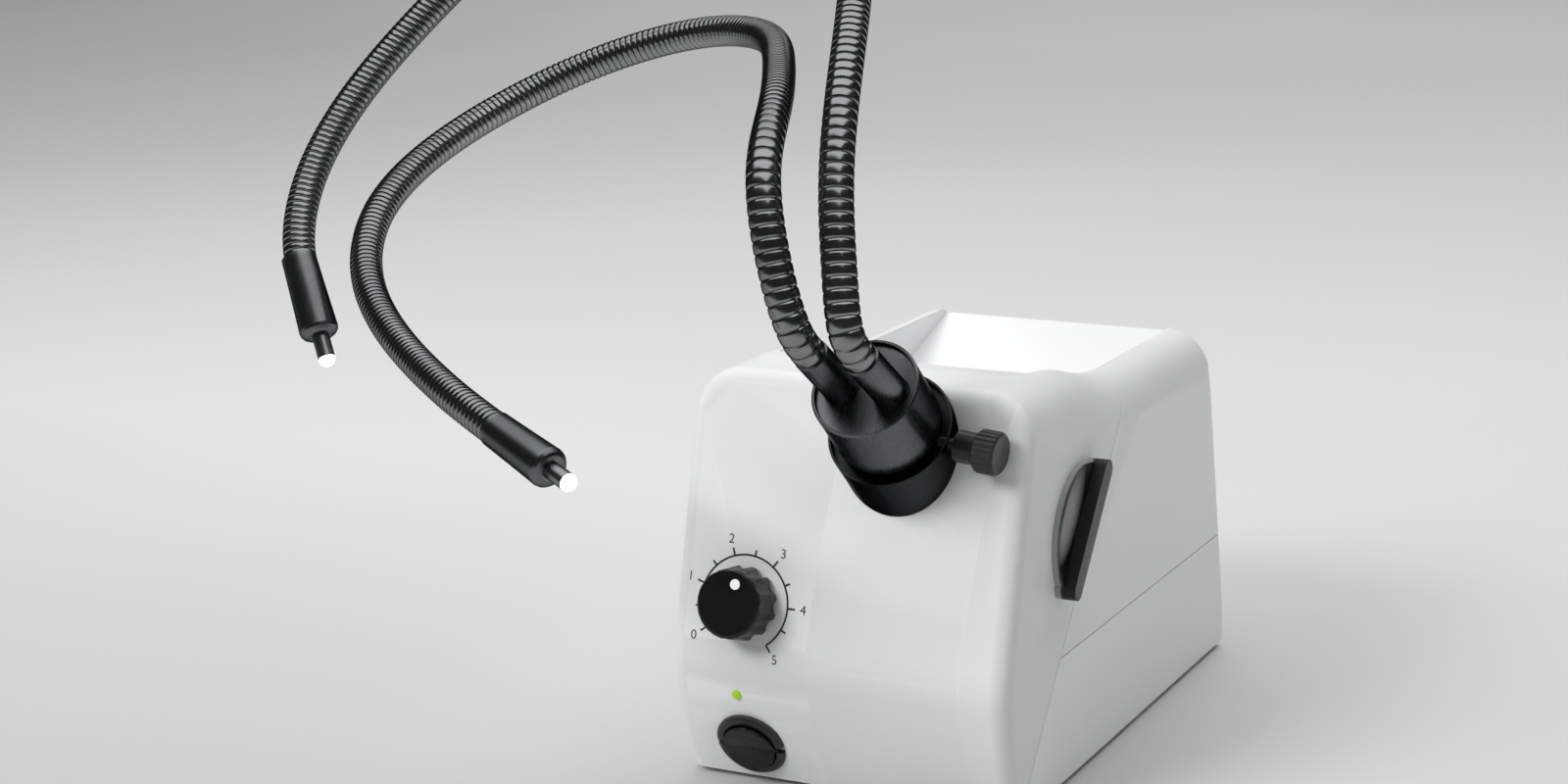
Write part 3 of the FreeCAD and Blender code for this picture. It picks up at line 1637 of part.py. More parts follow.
# Fan
def make_fan():
    centre = spot(FAN_X, FAN_Y, D.foot_rise + D.shell_wall + D.fan_side / 2)
    side, depth = D.fan_side, D.fan_depth
    block = Part.makeBox(side, depth, side, centre - spot(side / 2, depth / 2, side / 2))
    turn = ALONG
    bore = Part.makeCylinder(D.fan_bore_radius, depth * 2, centre - spot(0, depth, 0), turn)
    arms_low = centre + spot(0, depth / 2 - D.fan_arm_depth, 0)
    arms = []
    for angle in (0.0, 90.0):
        arm = Part.makeBox(
            side - D.fan_arm_width, D.fan_arm_depth, D.fan_arm_width,
            arms_low - spot((side - D.fan_arm_width) / 2, 0, D.fan_arm_width / 2),
        )
        arm.rotate(centre, turn, angle)
        arms.append(arm)
    disc = Part.makeCylinder(D.fan_hub_radius, D.fan_arm_depth, arms_low, turn)
    pin_low = centre - spot(0, depth / 2 - D.fan_arm_depth, 0)
    pin = Part.makeCylinder(D.fan_pin_radius, depth - D.fan_arm_depth, pin_low, turn)
    frame = block.cut(bore).fuse(arms + [disc, pin]).removeSplitter()
    formed("fan_frame", frame)
    hub_low = centre - spot(0, depth / 2 - D.fan_arm_depth / 2, 0)
    hub = Part.makeCylinder(D.fan_hub_radius, D.fan_hub_length, hub_low, turn)
    blades = []
    for i in range(FAN_BLADES):
        blade = Part.makeBox(
            D.fan_tip_radius - D.fan_hub_radius + D.fan_blade_thick,
            D.fan_blade_chord, D.fan_blade_thick,
            centre + spot(
                D.fan_hub_radius - D.fan_blade_thick, -D.fan_blade_chord / 2,
                -D.fan_blade_thick / 2,
            ),
        )
        middle = spot(centre.x, hub_low.y + D.fan_hub_length / 2, centre.z)
        blade.translate(spot(0, middle.y - centre.y, 0))
        blade.rotate(middle, ACROSS, FAN_BLADE_PITCH)
        blade.rotate(centre, turn, 360.0 * i / FAN_BLADES)
        blades.append(blade)
    rotor = hub.fuse(blades).removeSplitter()
    bore_low = centre - spot(0, depth, 0)
    eye = Part.makeCylinder(D.fan_pin_radius + D.running_fit, depth * 2, bore_low, turn)
    formed("fan_rotor", rotor.cut(eye))


# Power supply board on its stand-offs
def make_supply():
    floor = S.foot_rise + S.shell_wall
    x = S.shell_wall + S.supply_wall_gap + S.supply_width / 2 - S.housing_width / 2
    y = (S.post_front_run - S.post_rear_back) / 2
    clear = S.post_radius + S.supply_post_gap
    length = S.housing_depth - S.post_front_run - S.post_rear_back - clear * 2
    board = middle_box(
        "board_plate", (x, y, S.supply_rise), (S.supply_width, length, S.supply_thick)
    )
    top = S.supply_rise + S.supply_thick
    coil_length = length * COIL_SHARE
    coil = middle_box(
        "coil_block", (x, y + coil_length / 2, top - S.running_fit),
        (S.coil_width, coil_length, S.coil_height),
    )
    cans = []
    for side in (-1, 1):
        out = S.can_radius * CAN_SPREAD_SHARE * side
        base = (x + out, y - coil_length / 2, top - S.running_fit)
        cans.append(rod("can_%d" % (side + 1), base, S.can_radius, S.can_height))
    keep("power_board", joined("power_board", [board, coil] + cans))
    stands = []
    for across in (-1, 1):
        for along in (-1, 1):
            stand_x = x + (S.supply_width / 2 - S.supply_inset) * across
            stand_y = y + (length / 2 - S.supply_inset) * along
            stands.append(rod(
                "stand_%d_%d" % (across + 1, along + 1), (stand_x, stand_y, floor),
                S.stand_radius, S.supply_rise - floor,
            ))
    group = doc.addObject("Part::Compound", "board_stands")
    group.Links = stands
    keep("board_stands", group)


# Mains inlet with its fuse drawer
def inlet_box(width, height, low_y, high_y, lift):
    return Part.makeBox(
        width, high_y - low_y, height,
        spot(INLET_X - width / 2, low_y, D.inlet_rise + lift - height / 2),
    )


def make_inlet():
    back = run(D.housing_depth)
    front = back - D.inlet_depth
    face = back + D.inlet_flange
    case = inlet_box(D.inlet_width, D.inlet_height, front, back, 0)
    flange = inlet_box(
        D.inlet_width + 2 * D.inlet_lap, D.inlet_height + 2 * D.inlet_lap,
        back + D.running_fit, face, 0,
    )
    hole = inlet_box(
        D.socket_width, D.socket_height, face - D.socket_depth, face + D.overrun, D.socket_lift
    )
    drawer_room = inlet_box(
        D.drawer_width + 2 * D.running_fit, D.drawer_height + 2 * D.running_fit,
        face - D.drawer_depth, face + D.overrun, D.drawer_lift,
    )
    stem = inlet_box(D.inlet_width, D.inlet_height, back - D.inlet_lap, face, 0)
    formed("mains_inlet", case.fuse([flange, stem]).removeSplitter().cut([hole, drawer_room]))
    pins = []
    floor_y = face - D.socket_depth
    for x, z in ((-D.pin_spread, -D.pin_drop), (D.pin_spread, -D.pin_drop), (0, D.pin_drop)):
        pins.append(Part.makeBox(
            D.pin_thick, D.pin_length, D.pin_width,
            spot(
                INLET_X + x - D.pin_thick / 2, floor_y,
                D.inlet_rise + D.socket_lift + z - D.pin_width / 2,
            ),
        ))
    formed("inlet_pins", Part.makeCompound(pins))
    drawer = inlet_box(
        D.drawer_width, D.drawer_height, face - D.drawer_depth + D.running_fit,
        face + D.running_fit, D.drawer_lift,
    )
    plate = inlet_box(
        D.drawer_width + D.inlet_lap, D.drawer_height + D.drawer_face, face + D.running_fit,
        face + D.drawer_face, D.drawer_lift,
    )
    formed("fuse_drawer", drawer.fuse(plate).removeSplitter())


def check_document():
    for item in doc.Objects:
        if "Invalid" in item.State or "Error" in item.State:
            raise ValueError(item.Name + " is in state " + str(item.State))
    for name, item in nodes.items():
        shape = item.Shape
        if shape.isNull() or not shape.isValid() or not shape.Solids:
            raise ValueError(name + " has no valid solid")
        if shape.Volume <= 0:
            raise ValueError(name + " has no volume")


def write_parts():
    os.makedirs("parts", exist_ok=True)
    for name, item in nodes.items():
        item.Shape.exportStep(os.path.join("parts", name + ".step"))


def main():
    make_housing()
    make_feet()
    make_case_screws()
    make_port()
    make_clamp_screw()
    make_guide_head()
    make_sleeves()
    make_neck("left", -1, LEFT_ROUTE_SHARES, LEFT_BEND_SHARES)
    make_neck("right", 1, RIGHT_ROUTE_SHARES, RIGHT_BEND_SHARES)
    make_control()
    make_status_light()
    make_switch()
    make_filter_slide()
    make_light_engine()
    make_fan()
    make_supply()
    make_inlet()
    doc.recompute()
    check_document()
    write_parts()
    print(len(nodes), "pieces")


main()
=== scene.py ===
"""Looks of the bench light source with a double gooseneck light guide. Lengths are metres."""

import json
import math

import bmesh
import bpy
from mathutils import Matrix, Vector
from mathutils.bvhtree import BVHTree


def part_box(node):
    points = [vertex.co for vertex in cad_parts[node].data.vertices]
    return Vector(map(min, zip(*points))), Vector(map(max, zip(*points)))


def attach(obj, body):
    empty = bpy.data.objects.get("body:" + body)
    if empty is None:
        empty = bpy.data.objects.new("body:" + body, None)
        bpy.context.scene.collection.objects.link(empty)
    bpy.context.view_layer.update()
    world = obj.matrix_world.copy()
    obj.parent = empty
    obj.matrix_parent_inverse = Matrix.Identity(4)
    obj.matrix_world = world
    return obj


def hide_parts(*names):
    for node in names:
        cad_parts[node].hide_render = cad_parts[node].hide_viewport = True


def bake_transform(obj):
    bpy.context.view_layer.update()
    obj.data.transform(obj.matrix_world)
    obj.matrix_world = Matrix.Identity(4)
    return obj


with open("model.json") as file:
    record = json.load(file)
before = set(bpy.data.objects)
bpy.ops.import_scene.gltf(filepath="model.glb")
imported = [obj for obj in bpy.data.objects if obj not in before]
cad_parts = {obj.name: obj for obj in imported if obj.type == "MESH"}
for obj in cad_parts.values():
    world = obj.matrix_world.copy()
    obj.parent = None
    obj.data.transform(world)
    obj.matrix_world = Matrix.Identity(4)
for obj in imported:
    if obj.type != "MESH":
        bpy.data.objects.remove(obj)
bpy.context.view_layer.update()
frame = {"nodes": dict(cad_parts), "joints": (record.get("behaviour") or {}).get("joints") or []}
NODES = frame["nodes"]
JOINTS = {joint["name"]: joint for joint in frame["joints"]}

MM = 0.001

# Arms: routes in shares of the neck span, counted from the end of each sleeve
NECK_SPAN = 100 * MM
LEFT_ROUTE_SHARES = (
    (-0.105, -0.049, 0.297), (-0.180, 0.021, 0.567), (-0.260, 0.321, 0.717),
    (-0.480, 0.781, 0.787), (-0.690, 1.181, 0.842), (-1.030, 1.361, 0.837),
    (-1.390, 1.301, 0.742), (-1.680, 1.121, 0.597), (-1.850, 0.801, 0.442),
    (-1.880, 0.441, 0.277), (-1.760, 0.171, 0.087), (-1.490, -0.059, -0.053),
    (-1.170, -0.279, -0.138), (-0.980, -0.384, -0.188), (-0.750, -0.484, -0.253),
)
RIGHT_ROUTE_SHARES = (
    (-0.065, -0.009, 0.257), (-0.135, 0.101, 0.537), (-0.210, 0.351, 0.837),
    (-0.310, 0.681, 1.127), (-0.490, 1.021, 1.427), (-0.770, 1.261, 1.657),
    (-1.150, 1.351, 1.697), (-1.510, 1.291, 1.527), (-1.810, 1.131, 1.247),
    (-2.040, 0.901, 0.957), (-2.190, 0.621, 0.687), (-2.250, 0.361, 0.417),
    (-2.200, 0.181, 0.187), (-2.110, 0.121, 0.037),
)
ROUTE_LEAD_SHARE = 0.11
HOSE_RADIUS = 5.5 * MM
RIB_PITCH = 2.4 * MM
# Near the collar the ribs stand WIDE_PITCH apart, and they close up around WIDE_REACH
WIDE_PITCH = 3.9 * MM
WIDE_REACH = 105 * MM
RIB_DEPTH = 0.42 * MM
RIB_SIDES = 28
# One rib: share of its length, share of its depth
RIB_SHARES = (
    (0.00, 1.00), (0.06, 0.86), (0.11, 0.25), (0.22, 0.07), (0.50, 0.0), (0.78, 0.07),
    (0.89, 0.25), (0.94, 0.86),
)
HOSE_TUCK = 1.0 * MM
# How far each side of a bend the line is sampled; the hose pieces across a bend stay fixed, not
# turned with the bodies
BEND_REACH = 32 * MM
SPAN_STEPS = 24

# Port frame: the light guide's sleeves stand in it
PORT_BASE = Vector((15.5, -92.98, 120.0)) * MM
PORT_TILT = 42.0
COLLAR_TOP = 34.8 * MM
COLLAR_RECESS = 1.5 * MM
SLEEVE_SPREAD = 8.5 * MM
SLEEVE_LEAN = 10.0
SLEEVE_LENGTH = 20 * MM

# Dial: angles in degrees, counted from the right, up and over to the left
DIAL_RADIUS = 15.7 * MM
DIAL_LINE = 0.65 * MM
TICK_LENGTH = 2.7 * MM
SHORT_TICK_SHARE = 0.75
NUMERAL_RADIUS = 21.3 * MM
NUMERAL_HEIGHT = 3.1 * MM
FONT_HEIGHT_SHARE = 0.7
NUMERAL_ROUNDING = 4
DIAL_FIRST = 216.0
DIAL_STEP = 27.0
DIAL_TICKS = 11
DIAL_ARC_STEPS = 90
PRINT_LIFT = 0.03 * MM
PRINT_DROP = 4 * MM

# Filter pull: where its standing rib begins, inward from its outer face
PULL_RIB_FROM = 5.5 * MM
PULL_RIB_TO = 4.5 * MM

# Camera, solved from the edges of the case
CAMERA_PLACE = Vector((372.5, -893.7, 334.4)) * MM
CAMERA_YAW = 26.4
CAMERA_PITCH = 12.7
CAMERA_ROLL = -0.6
CAMERA_LENS = 65.25
SENSOR = 36.0
CLIP_NEAR = 0.05
CLIP_FAR = 50

# Stage
FLOOR_REACH = 8.0
PALE = (0.77, 0.775, 0.77)
# Painted shade: toward the front the floor's colour is multiplied by NEAR_SHADE, between SHADE_TO
# and SHADE_FROM.
NEAR_SHADE = 0.68
SHADE_FROM = -0.3
SHADE_TO = 0.25
MIDDLE = (0, 0, 0.12)
# Name, place, target, size, power, and whether surfaces mirror it
LAMPS = (
    ("lamp_top", (-0.12, 0.2, 1.2), (-0.12, 0.2, 0), (1.8, 1.8), 12.6, True),
    ("lamp_front", (-0.9, -1.6, 1.4), MIDDLE, (1.0, 0.8), 31, False),
    ("lamp_side", (2.2, -0.6, 0.7), MIDDLE, (0.9, 0.7), 5, False),
    ("lamp_back", (-0.6, 3.0, 2.6), (-0.8, 2.7, 0.0), (4.5, 2.2), 64, False),
)
WORLD_COLOUR = (0.9, 0.91, 0.92, 1)
WORLD_STRENGTH = 0.045


# Node helpers
class Shader:
    """A material and short ways to add and join its nodes."""

    def __init__(self, name):
        self.material = bpy.data.materials.new(name)
        self.material.use_nodes = True
        self.tree = self.material.node_tree
        self.main = self.tree.nodes["Principled BSDF"]
        self.place = self.tree.nodes.new("ShaderNodeTexCoord").outputs["Object"]

    def set(self, **values):
        for key, value in values.items():
            self.main.inputs[key.replace("_", " ")].default_value = value

    def node(self, kind, **settings):
        made = self.tree.nodes.new(kind)
        for key, value in settings.items():
            setattr(made, key, value)
        return made

    def join(self, source, target):
        self.tree.links.new(source, target)

    def noise(self, size, detail=2.0, stretch=None):
        """Noise whose blobs are about this many metres across."""
        made = self.node("ShaderNodeTexNoise")
        made.inputs["Scale"].default_value = 1 / size
        made.inputs["Detail"].default_value = detail
        place = self.place
        if stretch:
            mapping = self.node("ShaderNodeMapping")
            mapping.inputs["Scale"].default_value = stretch
            self.join(place, mapping.inputs["Vector"])
            place = mapping.outputs["Vector"]
        self.join(place, made.inputs["Vector"])
        return made.outputs["Fac"]

    def ramp(self, source, stops):
        """Two colours with a soft step between their places."""
        made = self.node("ShaderNodeValToRGB")
        made.color_ramp.interpolation = "EASE"
        for element, (place, value) in zip(made.color_ramp.elements, stops):
            element.position = place
            element.color = (*value, 1)
        self.join(source, made.inputs["Fac"])
        return made.outputs["Color"]

    def levels(self, source, low, high, start=0.35, end=0.65):
        """Maps start to end of a noise or a measure onto values from low to high."""
        made = self.node("ShaderNodeMapRange")
        for key, value in zip(
            ("From Min", "From Max", "To Min", "To Max"), (start, end, low, high)
        ):
            made.inputs[key].default_value = value
        self.join(source, made.inputs["Value"])
        return made.outputs["Result"]

    def mix(self, factor, first, second, blend="MIX"):
        made = self.node("ShaderNodeMix", data_type="RGBA", blend_type=blend)
        for value, socket in ((factor, 0), (first, 6), (second, 7)):
            if isinstance(value, bpy.types.NodeSocket):
                self.join(value, made.inputs[socket])
            elif socket:
                made.inputs[socket].default_value = (*value, 1)
            else:
                made.inputs[socket].default_value = value
        return made.outputs[2]

    def colour(self, source):
        self.join(source, self.main.inputs["Base Color"])

    def roughness(self, source):
        self.join(source, self.main.inputs["Roughness"])

    def bump(self, source, height, before=None):
        made = self.node("ShaderNodeBump")
        made.inputs["Distance"].default_value = height
        self.join(source, made.inputs["Height"])
        if before:
            self.join(before, made.inputs["Normal"])
        return made.outputs["Normal"]

    def rounded(self, radius):
        made = self.node("ShaderNodeBevel", samples=6)
        made.inputs["Radius"].default_value = radius
        return made.outputs["Normal"]

    def normal(self, source):
        self.join(source, self.main.inputs["Normal"])

    def edges(self, low=0.51, high=0.58):
        """Rises from 0 to 1 on sharp outer edges."""
        geometry = self.node("ShaderNodeNewGeometry")
        return self.levels(geometry.outputs["Pointiness"], 0.0, 1.0, low, high)


def moulded(name, colour, rough, grain=0.35 * MM, grain_height=0.012 * MM, shade=0.94):
    """Moulded plastic: fine spark texture, faint handling marks and paler edges."""
    shader = Shader(name)
    cloud = shader.levels(shader.noise(60 * MM, 3.0), 0.0, 1.0)
    darker = tuple(c * shade for c in colour)
    tone = shader.mix(cloud, darker, colour)
    worn = tuple(min(1.0, c * 1.06 + 0.02) for c in colour)
    shader.colour(shader.mix(shader.edges(), tone, worn))
    smudge = shader.levels(shader.noise(18 * MM, 5.0), rough - 0.05, rough + 0.07)
    shader.roughness(smudge)
    spark = shader.noise(grain, 1.0)
    shader.normal(shader.bump(spark, grain_height, shader.rounded(0.35 * MM)))
    return shader


def white_shell():
    shader = moulded("white_shell", (0.87, 0.875, 0.88), 0.42, 0.45 * MM, 0.010 * MM, 0.97)
    shader.set(Specular_IOR_Level=0.25)
    return shader.material


def satin_black(name, colour, rough, mirror=0.3):
    shader = moulded(name, colour, rough, 0.3 * MM, 0.004 * MM, 0.8)
    shader.set(Specular_IOR_Level=mirror)
    return shader.material


def turned_metal(name, colour, rough, axis_stretch):
    """Black anodised metal with fine turning marks and slightly paler worn edges."""
    shader = Shader(name)
    marks = shader.noise(0.3 * MM, 2.0, axis_stretch)
    cloud = shader.levels(shader.noise(25 * MM, 3.0), 0.0, 1.0)
    tone = shader.mix(cloud, tuple(c * 0.85 for c in colour), colour)
    worn = tuple(c * 1.6 for c in colour)
    shader.colour(shader.mix(shader.edges(0.53, 0.62), tone, worn))
    shader.roughness(shader.levels(marks, rough - 0.03, rough + 0.03))
    shader.set(Metallic=1.0, Specular_Tint=(0.1, 0.1, 0.1, 1))
    shader.normal(shader.bump(marks, 0.0005 * MM, shader.rounded(0.2 * MM)))
    return shader.material


def hose_cover():
    """Dark shining metal hose: grey crests, and grooves painted nearly black as painted shade."""
    shader = Shader("hose_cover")
    crest = shader.edges(0.44, 0.50)
    cloud = shader.levels(shader.noise(30 * MM, 3.0), 0.0, 1.0)
    tone = shader.mix(cloud, (0.27, 0.275, 0.28), (0.33, 0.335, 0.34))
    # Painted shade: the grooves between the ribs are painted nearly black, and the crests keep the
    # grey metal.
    shader.colour(shader.mix(crest, (0.01, 0.01, 0.01), tone))
    shader.roughness(shader.levels(shader.noise(6 * MM, 4.0), 0.17, 0.24))
    shader.set(Metallic=1.0, Specular_Tint=(0.0, 0.0, 0.0, 1))
    shader.normal(shader.bump(shader.noise(0.25 * MM, 1.0), 0.003 * MM))
    return shader.material


def handle_finish():
    """Pull for the filter: black plastic, its satin scoop painted grey as a painted highlight,
    black along the standing rib.
    """
    shader = Shader("handle_finish")
    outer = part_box("filter_handle")[1][0]
    across = shader.node("ShaderNodeSeparateXYZ")
    shader.join(shader.place, across.inputs[0])
    rib = shader.levels(across.outputs["X"], 0.0, 1.0, outer - PULL_RIB_FROM, outer - PULL_RIB_TO)
    cloud = shader.levels(shader.noise(20 * MM, 3.0), 0.0, 1.0)
    # Painted highlight: the scoop of the black pull is painted grey for the light it mirrors.
    scoop_painted_highlight = shader.mix(cloud, (0.36, 0.365, 0.37), (0.41, 0.415, 0.42))
    shader.colour(shader.mix(rib, scoop_painted_highlight, (0.006, 0.006, 0.0065)))
    shader.roughness(shader.levels(shader.noise(8 * MM, 4.0), 0.26, 0.36))
    shader.set(Specular_IOR_Level=0.4)
    grain = shader.noise(0.3 * MM, 1.0)
    shader.normal(shader.bump(grain, 0.004 * MM, shader.rounded(0.35 * MM)))
    return shader.material


def plain_metal(name, colour, rough, stretch=(1, 1, 1)):
    shader = Shader(name)
    marks = shader.noise(0.8 * MM, 3.0, stretch)
    cloud = shader.levels(shader.noise(12 * MM, 4.0), 0.0, 1.0)
    shader.colour(shader.mix(cloud, tuple(c * 0.82 for c in colour), colour))
    shader.roughness(shader.levels(marks, rough - 0.06, rough + 0.08))
    shader.set(Metallic=1.0)
    shader.normal(shader.bump(marks, 0.004 * MM))
    return shader.material


def clear_glass(name, colour, rough=0.04):
    shader = Shader(name)
    shader.roughness(shader.levels(shader.noise(4 * MM, 3.0), rough, rough + 0.04))
    shader.set(Base_Color=(*colour, 1), Transmission_Weight=0.9, IOR=1.5)
    return shader.material


def glowing(name, colour, light, strength, grain):
    """A face that gives off light: packed fibres, a tinted lens, and a painted glow on a bright
    dot.
    """
    shader = Shader(name)
    dots = shader.levels(shader.noise(grain, 1.0), 0.85, 1.0)
    shader.colour(shader.mix(dots, tuple(c * 0.8 for c in colour), colour))
    shader.roughness(shader.levels(shader.noise(grain * 3, 1.0), 0.25, 0.4))
    shader.set(Emission_Color=(*light, 1), Emission_Strength=strength)
    return shader.material


def circuit_board():
    shader = Shader("circuit_board")
    tracks = shader.noise(3 * MM, 0.0, (1, 0.15, 1))
    lines = shader.ramp(tracks, ((0.48, (0.02, 0.14, 0.05)), (0.52, (0.03, 0.2, 0.08))))
    shader.colour(lines)
    shader.roughness(shader.levels(shader.noise(8 * MM, 3.0), 0.35, 0.5))
    shader.normal(shader.bump(tracks, 0.03 * MM))
    return shader.material


def dial_print():
    shader = Shader("dial_print")
    worn = shader.levels(shader.noise(0.8 * MM, 4.0), 0.0, 1.0, 0.3, 0.7)
    shader.colour(shader.mix(worn, (0.035, 0.035, 0.038), (0.02, 0.02, 0.022)))
    shader.roughness(shader.levels(shader.noise(1.5 * MM, 2.0), 0.45, 0.6))
    return shader.material


def paint(material, *names):
    """Gives the named solids this one material."""
    for name in names:
        mesh = NODES[name].data
        mesh.materials.clear()
        mesh.materials.append(material)


def both(*stems):
    return [stem + side for stem in stems for side in ("left", "right")]


def paint_nodes():
    lateral = (1.0, 0.04, 0.04)
    paint(white_shell(), "front_bezel", "base_tray", "top_cover")
    paint(satin_black("rubber", (0.03, 0.03, 0.03), 0.62), "rubber_feet")
    paint(plain_metal("zinc", (0.62, 0.62, 0.64), 0.34), "case_screws")
    paint(
        turned_metal("port_anodised", (0.036, 0.037, 0.038), 0.30, lateral),
        "port_socket", "port_nut", "optic_tube",
    )
    paint(
        turned_metal("collar_anodised", (0.115, 0.120, 0.125), 0.27, lateral),
        "guide_collar", "guide_cap", *both("neck_sleeve_"),
    )
    paint(
        turned_metal("tip_anodised", (0.19, 0.195, 0.20), 0.30, lateral),
        *both("tip_sleeve_", "tip_ferrule_"),
    )
    paint(plain_metal("steel", (0.58, 0.58, 0.6), 0.25), "guide_ferrule", "knob_spindle")
    paint(satin_black("clamp_plastic", (0.016, 0.0165, 0.018), 0.24), "clamp_screw")
    paint(plain_metal("brass", (0.72, 0.55, 0.27), 0.3), "clamp_pad", "board_stands", "inlet_pins")
    paint(satin_black("knob_plastic", (0.007, 0.007, 0.0075), 0.28, 0.4), "control_knob")
    # Painted glow: the white dot on the knob gives off a faint light, though it is no lamp.
    paint(glowing("dot_paint_with_painted_glow", (0.92, 0.92, 0.92), (1, 1, 1), 0.25, 0.2 * MM), "knob_dot")
    paint(satin_black("control_case", (0.08, 0.08, 0.085), 0.45), "brightness_control")
    paint(
        glowing("green_lens", (0.30, 0.52, 0.01), (0.32, 0.55, 0.0), 0.35, 0.6 * MM),
        "status_light",
    )
    paint(satin_black("switch_ring", (0.016, 0.016, 0.017), 0.30, 0.4), "switch_case")
    paint(satin_black("rocker_gloss", (0.003, 0.003, 0.0035), 0.16, 0.2), "switch_rocker")
    paint(handle_finish(), "filter_handle")
    paint(plain_metal("blade_metal", (0.12, 0.12, 0.13), 0.4), "filter_blade")
    paint(clear_glass("filter_tint", (0.45, 0.62, 0.9)), "filter_glass")
    paint(clear_glass("lens_glass", (0.93, 0.97, 0.96)), "condenser_lens")
    fibres = ["fibres_%s_%d" % (side, i) for side in ("left", "right") for i in (1, 2, 3, 4)]
    paint(clear_glass("fibre_glass", (0.8, 0.86, 0.84), 0.2), "guide_entry_core", *fibres)
    paint(
        glowing("lit_fibres", (1, 1, 0.97), (1, 1, 0.96), 4.0, 0.12 * MM),
        *both("light_exit_"),
    )
    paint(plain_metal("board_metal", (0.85, 0.85, 0.83), 0.5), "led_board")
    paint(glowing("phosphor", (0.8, 0.7, 0.2), (1, 0.95, 0.8), 2.0, 0.5 * MM), "led_emitter")
    paint(
        plain_metal("extruded", (0.75, 0.76, 0.77), 0.33, (8, 0.2, 0.2)),
        "heat_sink", "sink_bracket",
    )
    paint(satin_black("fan_plastic", (0.03, 0.03, 0.032), 0.5), "fan_frame", "fan_rotor")
    paint(circuit_board(), "power_board")
    paint(satin_black("inlet_plastic", (0.025, 0.025, 0.026), 0.42), "mains_inlet", "fuse_drawer")


# Arms
def tilted(base, degrees_above_level):
    """A frame at base whose Z axis leans forward to this angle above level."""
    return Matrix.Translation(base) @ Matrix.Rotation(
        math.radians(90.0 - degrees_above_level), 4, "X"
    )


def sleeve_frame(sign):
    """The foot of one neck sleeve, its Z axis along the sleeve."""
    lean = Matrix.Rotation(math.radians(-SLEEVE_LEAN), 4, "Y")
    place = Matrix.Translation((sign * SLEEVE_SPREAD, 0, COLLAR_TOP - COLLAR_RECESS))
    return tilted(PORT_BASE, PORT_TILT) @ place @ lean


class Spline:
    """A smooth cubic line through a list of guiding points, measured along its length."""

    def __init__(self, points):
        first = points[0] * 2 - points[1]
        last = points[-1] * 2 - points[-2]
        guide = [first, *points, last]
        self.places = []
        for i in range(len(guide) - 3):
            for k in range(SPAN_STEPS):
                self.places.append(self.blend(guide[i : i + 4], k / SPAN_STEPS))
        self.places.append(self.blend(guide[-4:], 1.0))
        self.marks = [0.0]
        for a, b in zip(self.places, self.places[1:]):
            self.marks.append(self.marks[-1] + (b - a).length)
        self.length = self.marks[-1]

    @staticmethod
    def blend(four, t):
        weights = (
            (1 - t) ** 3,
            3 * t**3 - 6 * t**2 + 4,
            -3 * t**3 + 3 * t**2 + 3 * t + 1,
            t**3,
        )
        return sum((p * w for p, w in zip(four, weights)), Vector()) / 6

    def at(self, distance):
        marks = self.marks
        low, high = 0, len(marks) - 2
        while low < high:
            middle = (low + high + 1) // 2
            if marks[middle] <= distance:
                low = middle
            else:
                high = middle - 1
        share = (distance - marks[low]) / (marks[low + 1] - marks[low])
        return self.places[low].lerp(self.places[low + 1], share)

    def heading(self, distance):
        reach = RIB_PITCH / 2
        return (self.at(distance + reach) - self.at(distance - reach)).normalized()

    def nearest(self, point):
        best = min(range(len(self.places)), key=lambda i: (self.places[i] - point).length)
        return self.marks[best]


def arm_line(sign, shares):
    """The middle line of one hose, from its neck sleeve to its tip sleeve."""
    stand = sleeve_frame(sign)
    start = stand @ Vector((0, 0, SLEEVE_LENGTH))
    heading = (start - stand @ Vector()).normalized()
    points = [start, start + heading * (ROUTE_LEAD_SHARE * NECK_SPAN)]
    points += [start + Vector(share) * NECK_SPAN for share in shares]
    return Spline(points)


def rib_starts(length):
    """Where each rib begins: the ribs stand wider apart near the collar."""
    count = round(length / RIB_PITCH)
    wide = round(WIDE_REACH / WIDE_PITCH)
    fade = wide // 2
    weights = []
    for i in range(count):
        t = min(1.0, max(0.0, (i - wide + fade) / (2 * fade)))
        weights.append(1.0 - t * t * (3 - 2 * t))
    narrow = (length - WIDE_PITCH * sum(weights)) / (count - sum(weights))
    starts = [0.0]
    for weight in weights:
        starts.append(starts[-1] + narrow + (WIDE_PITCH - narrow) * weight)
    return starts


def rib_rings(line):
    """Distance along the arm and radius of every ring of the ribbed surface."""
    starts = rib_starts(line.length)
    rings = [(-HOSE_TUCK, HOSE_RADIUS - RIB_DEPTH)]
    for start, end in zip(starts, starts[1:]):
        for share, depth in RIB_SHARES:
            rings.append((start + share * (end - start), HOSE_RADIUS - RIB_DEPTH * depth))
    rings.append((line.length + HOSE_TUCK, HOSE_RADIUS - RIB_DEPTH))
    return rings, starts


def steady_sides(line, rings):
    """One sideways direction per ring, carried along the arm without twist."""
    side = Vector((1, 0, 0))
    sides = []
    for distance, _ in rings:
        heading = line.heading(distance)
        side = (side - heading * side.dot(heading)).normalized()
        sides.append((heading, side))
    return sides


def ring_mesh(name, line, rings, frames):
    """A closed tube through these rings."""
    mesh = bmesh.new()
    rows = []
    for (distance, radius), (heading, side) in zip(rings, frames):
        centre = line.at(distance)
        other = heading.cross(side)
        row = []
        for k in range(RIB_SIDES):
            angle = 2 * math.pi * k / RIB_SIDES
            spoke = side * math.cos(angle) + other * math.sin(angle)
            row.append(mesh.verts.new(centre + spoke * radius))
        rows.append(row)
    for a, b in zip(rows, rows[1:]):
        for k in range(RIB_SIDES):
            n = (k + 1) % RIB_SIDES
            mesh.faces.new((a[k], a[n], b[n], b[k]))
    mesh.faces.new(rows[0][::-1])
    mesh.faces.new(rows[-1])
    return mesh_object(name, mesh)


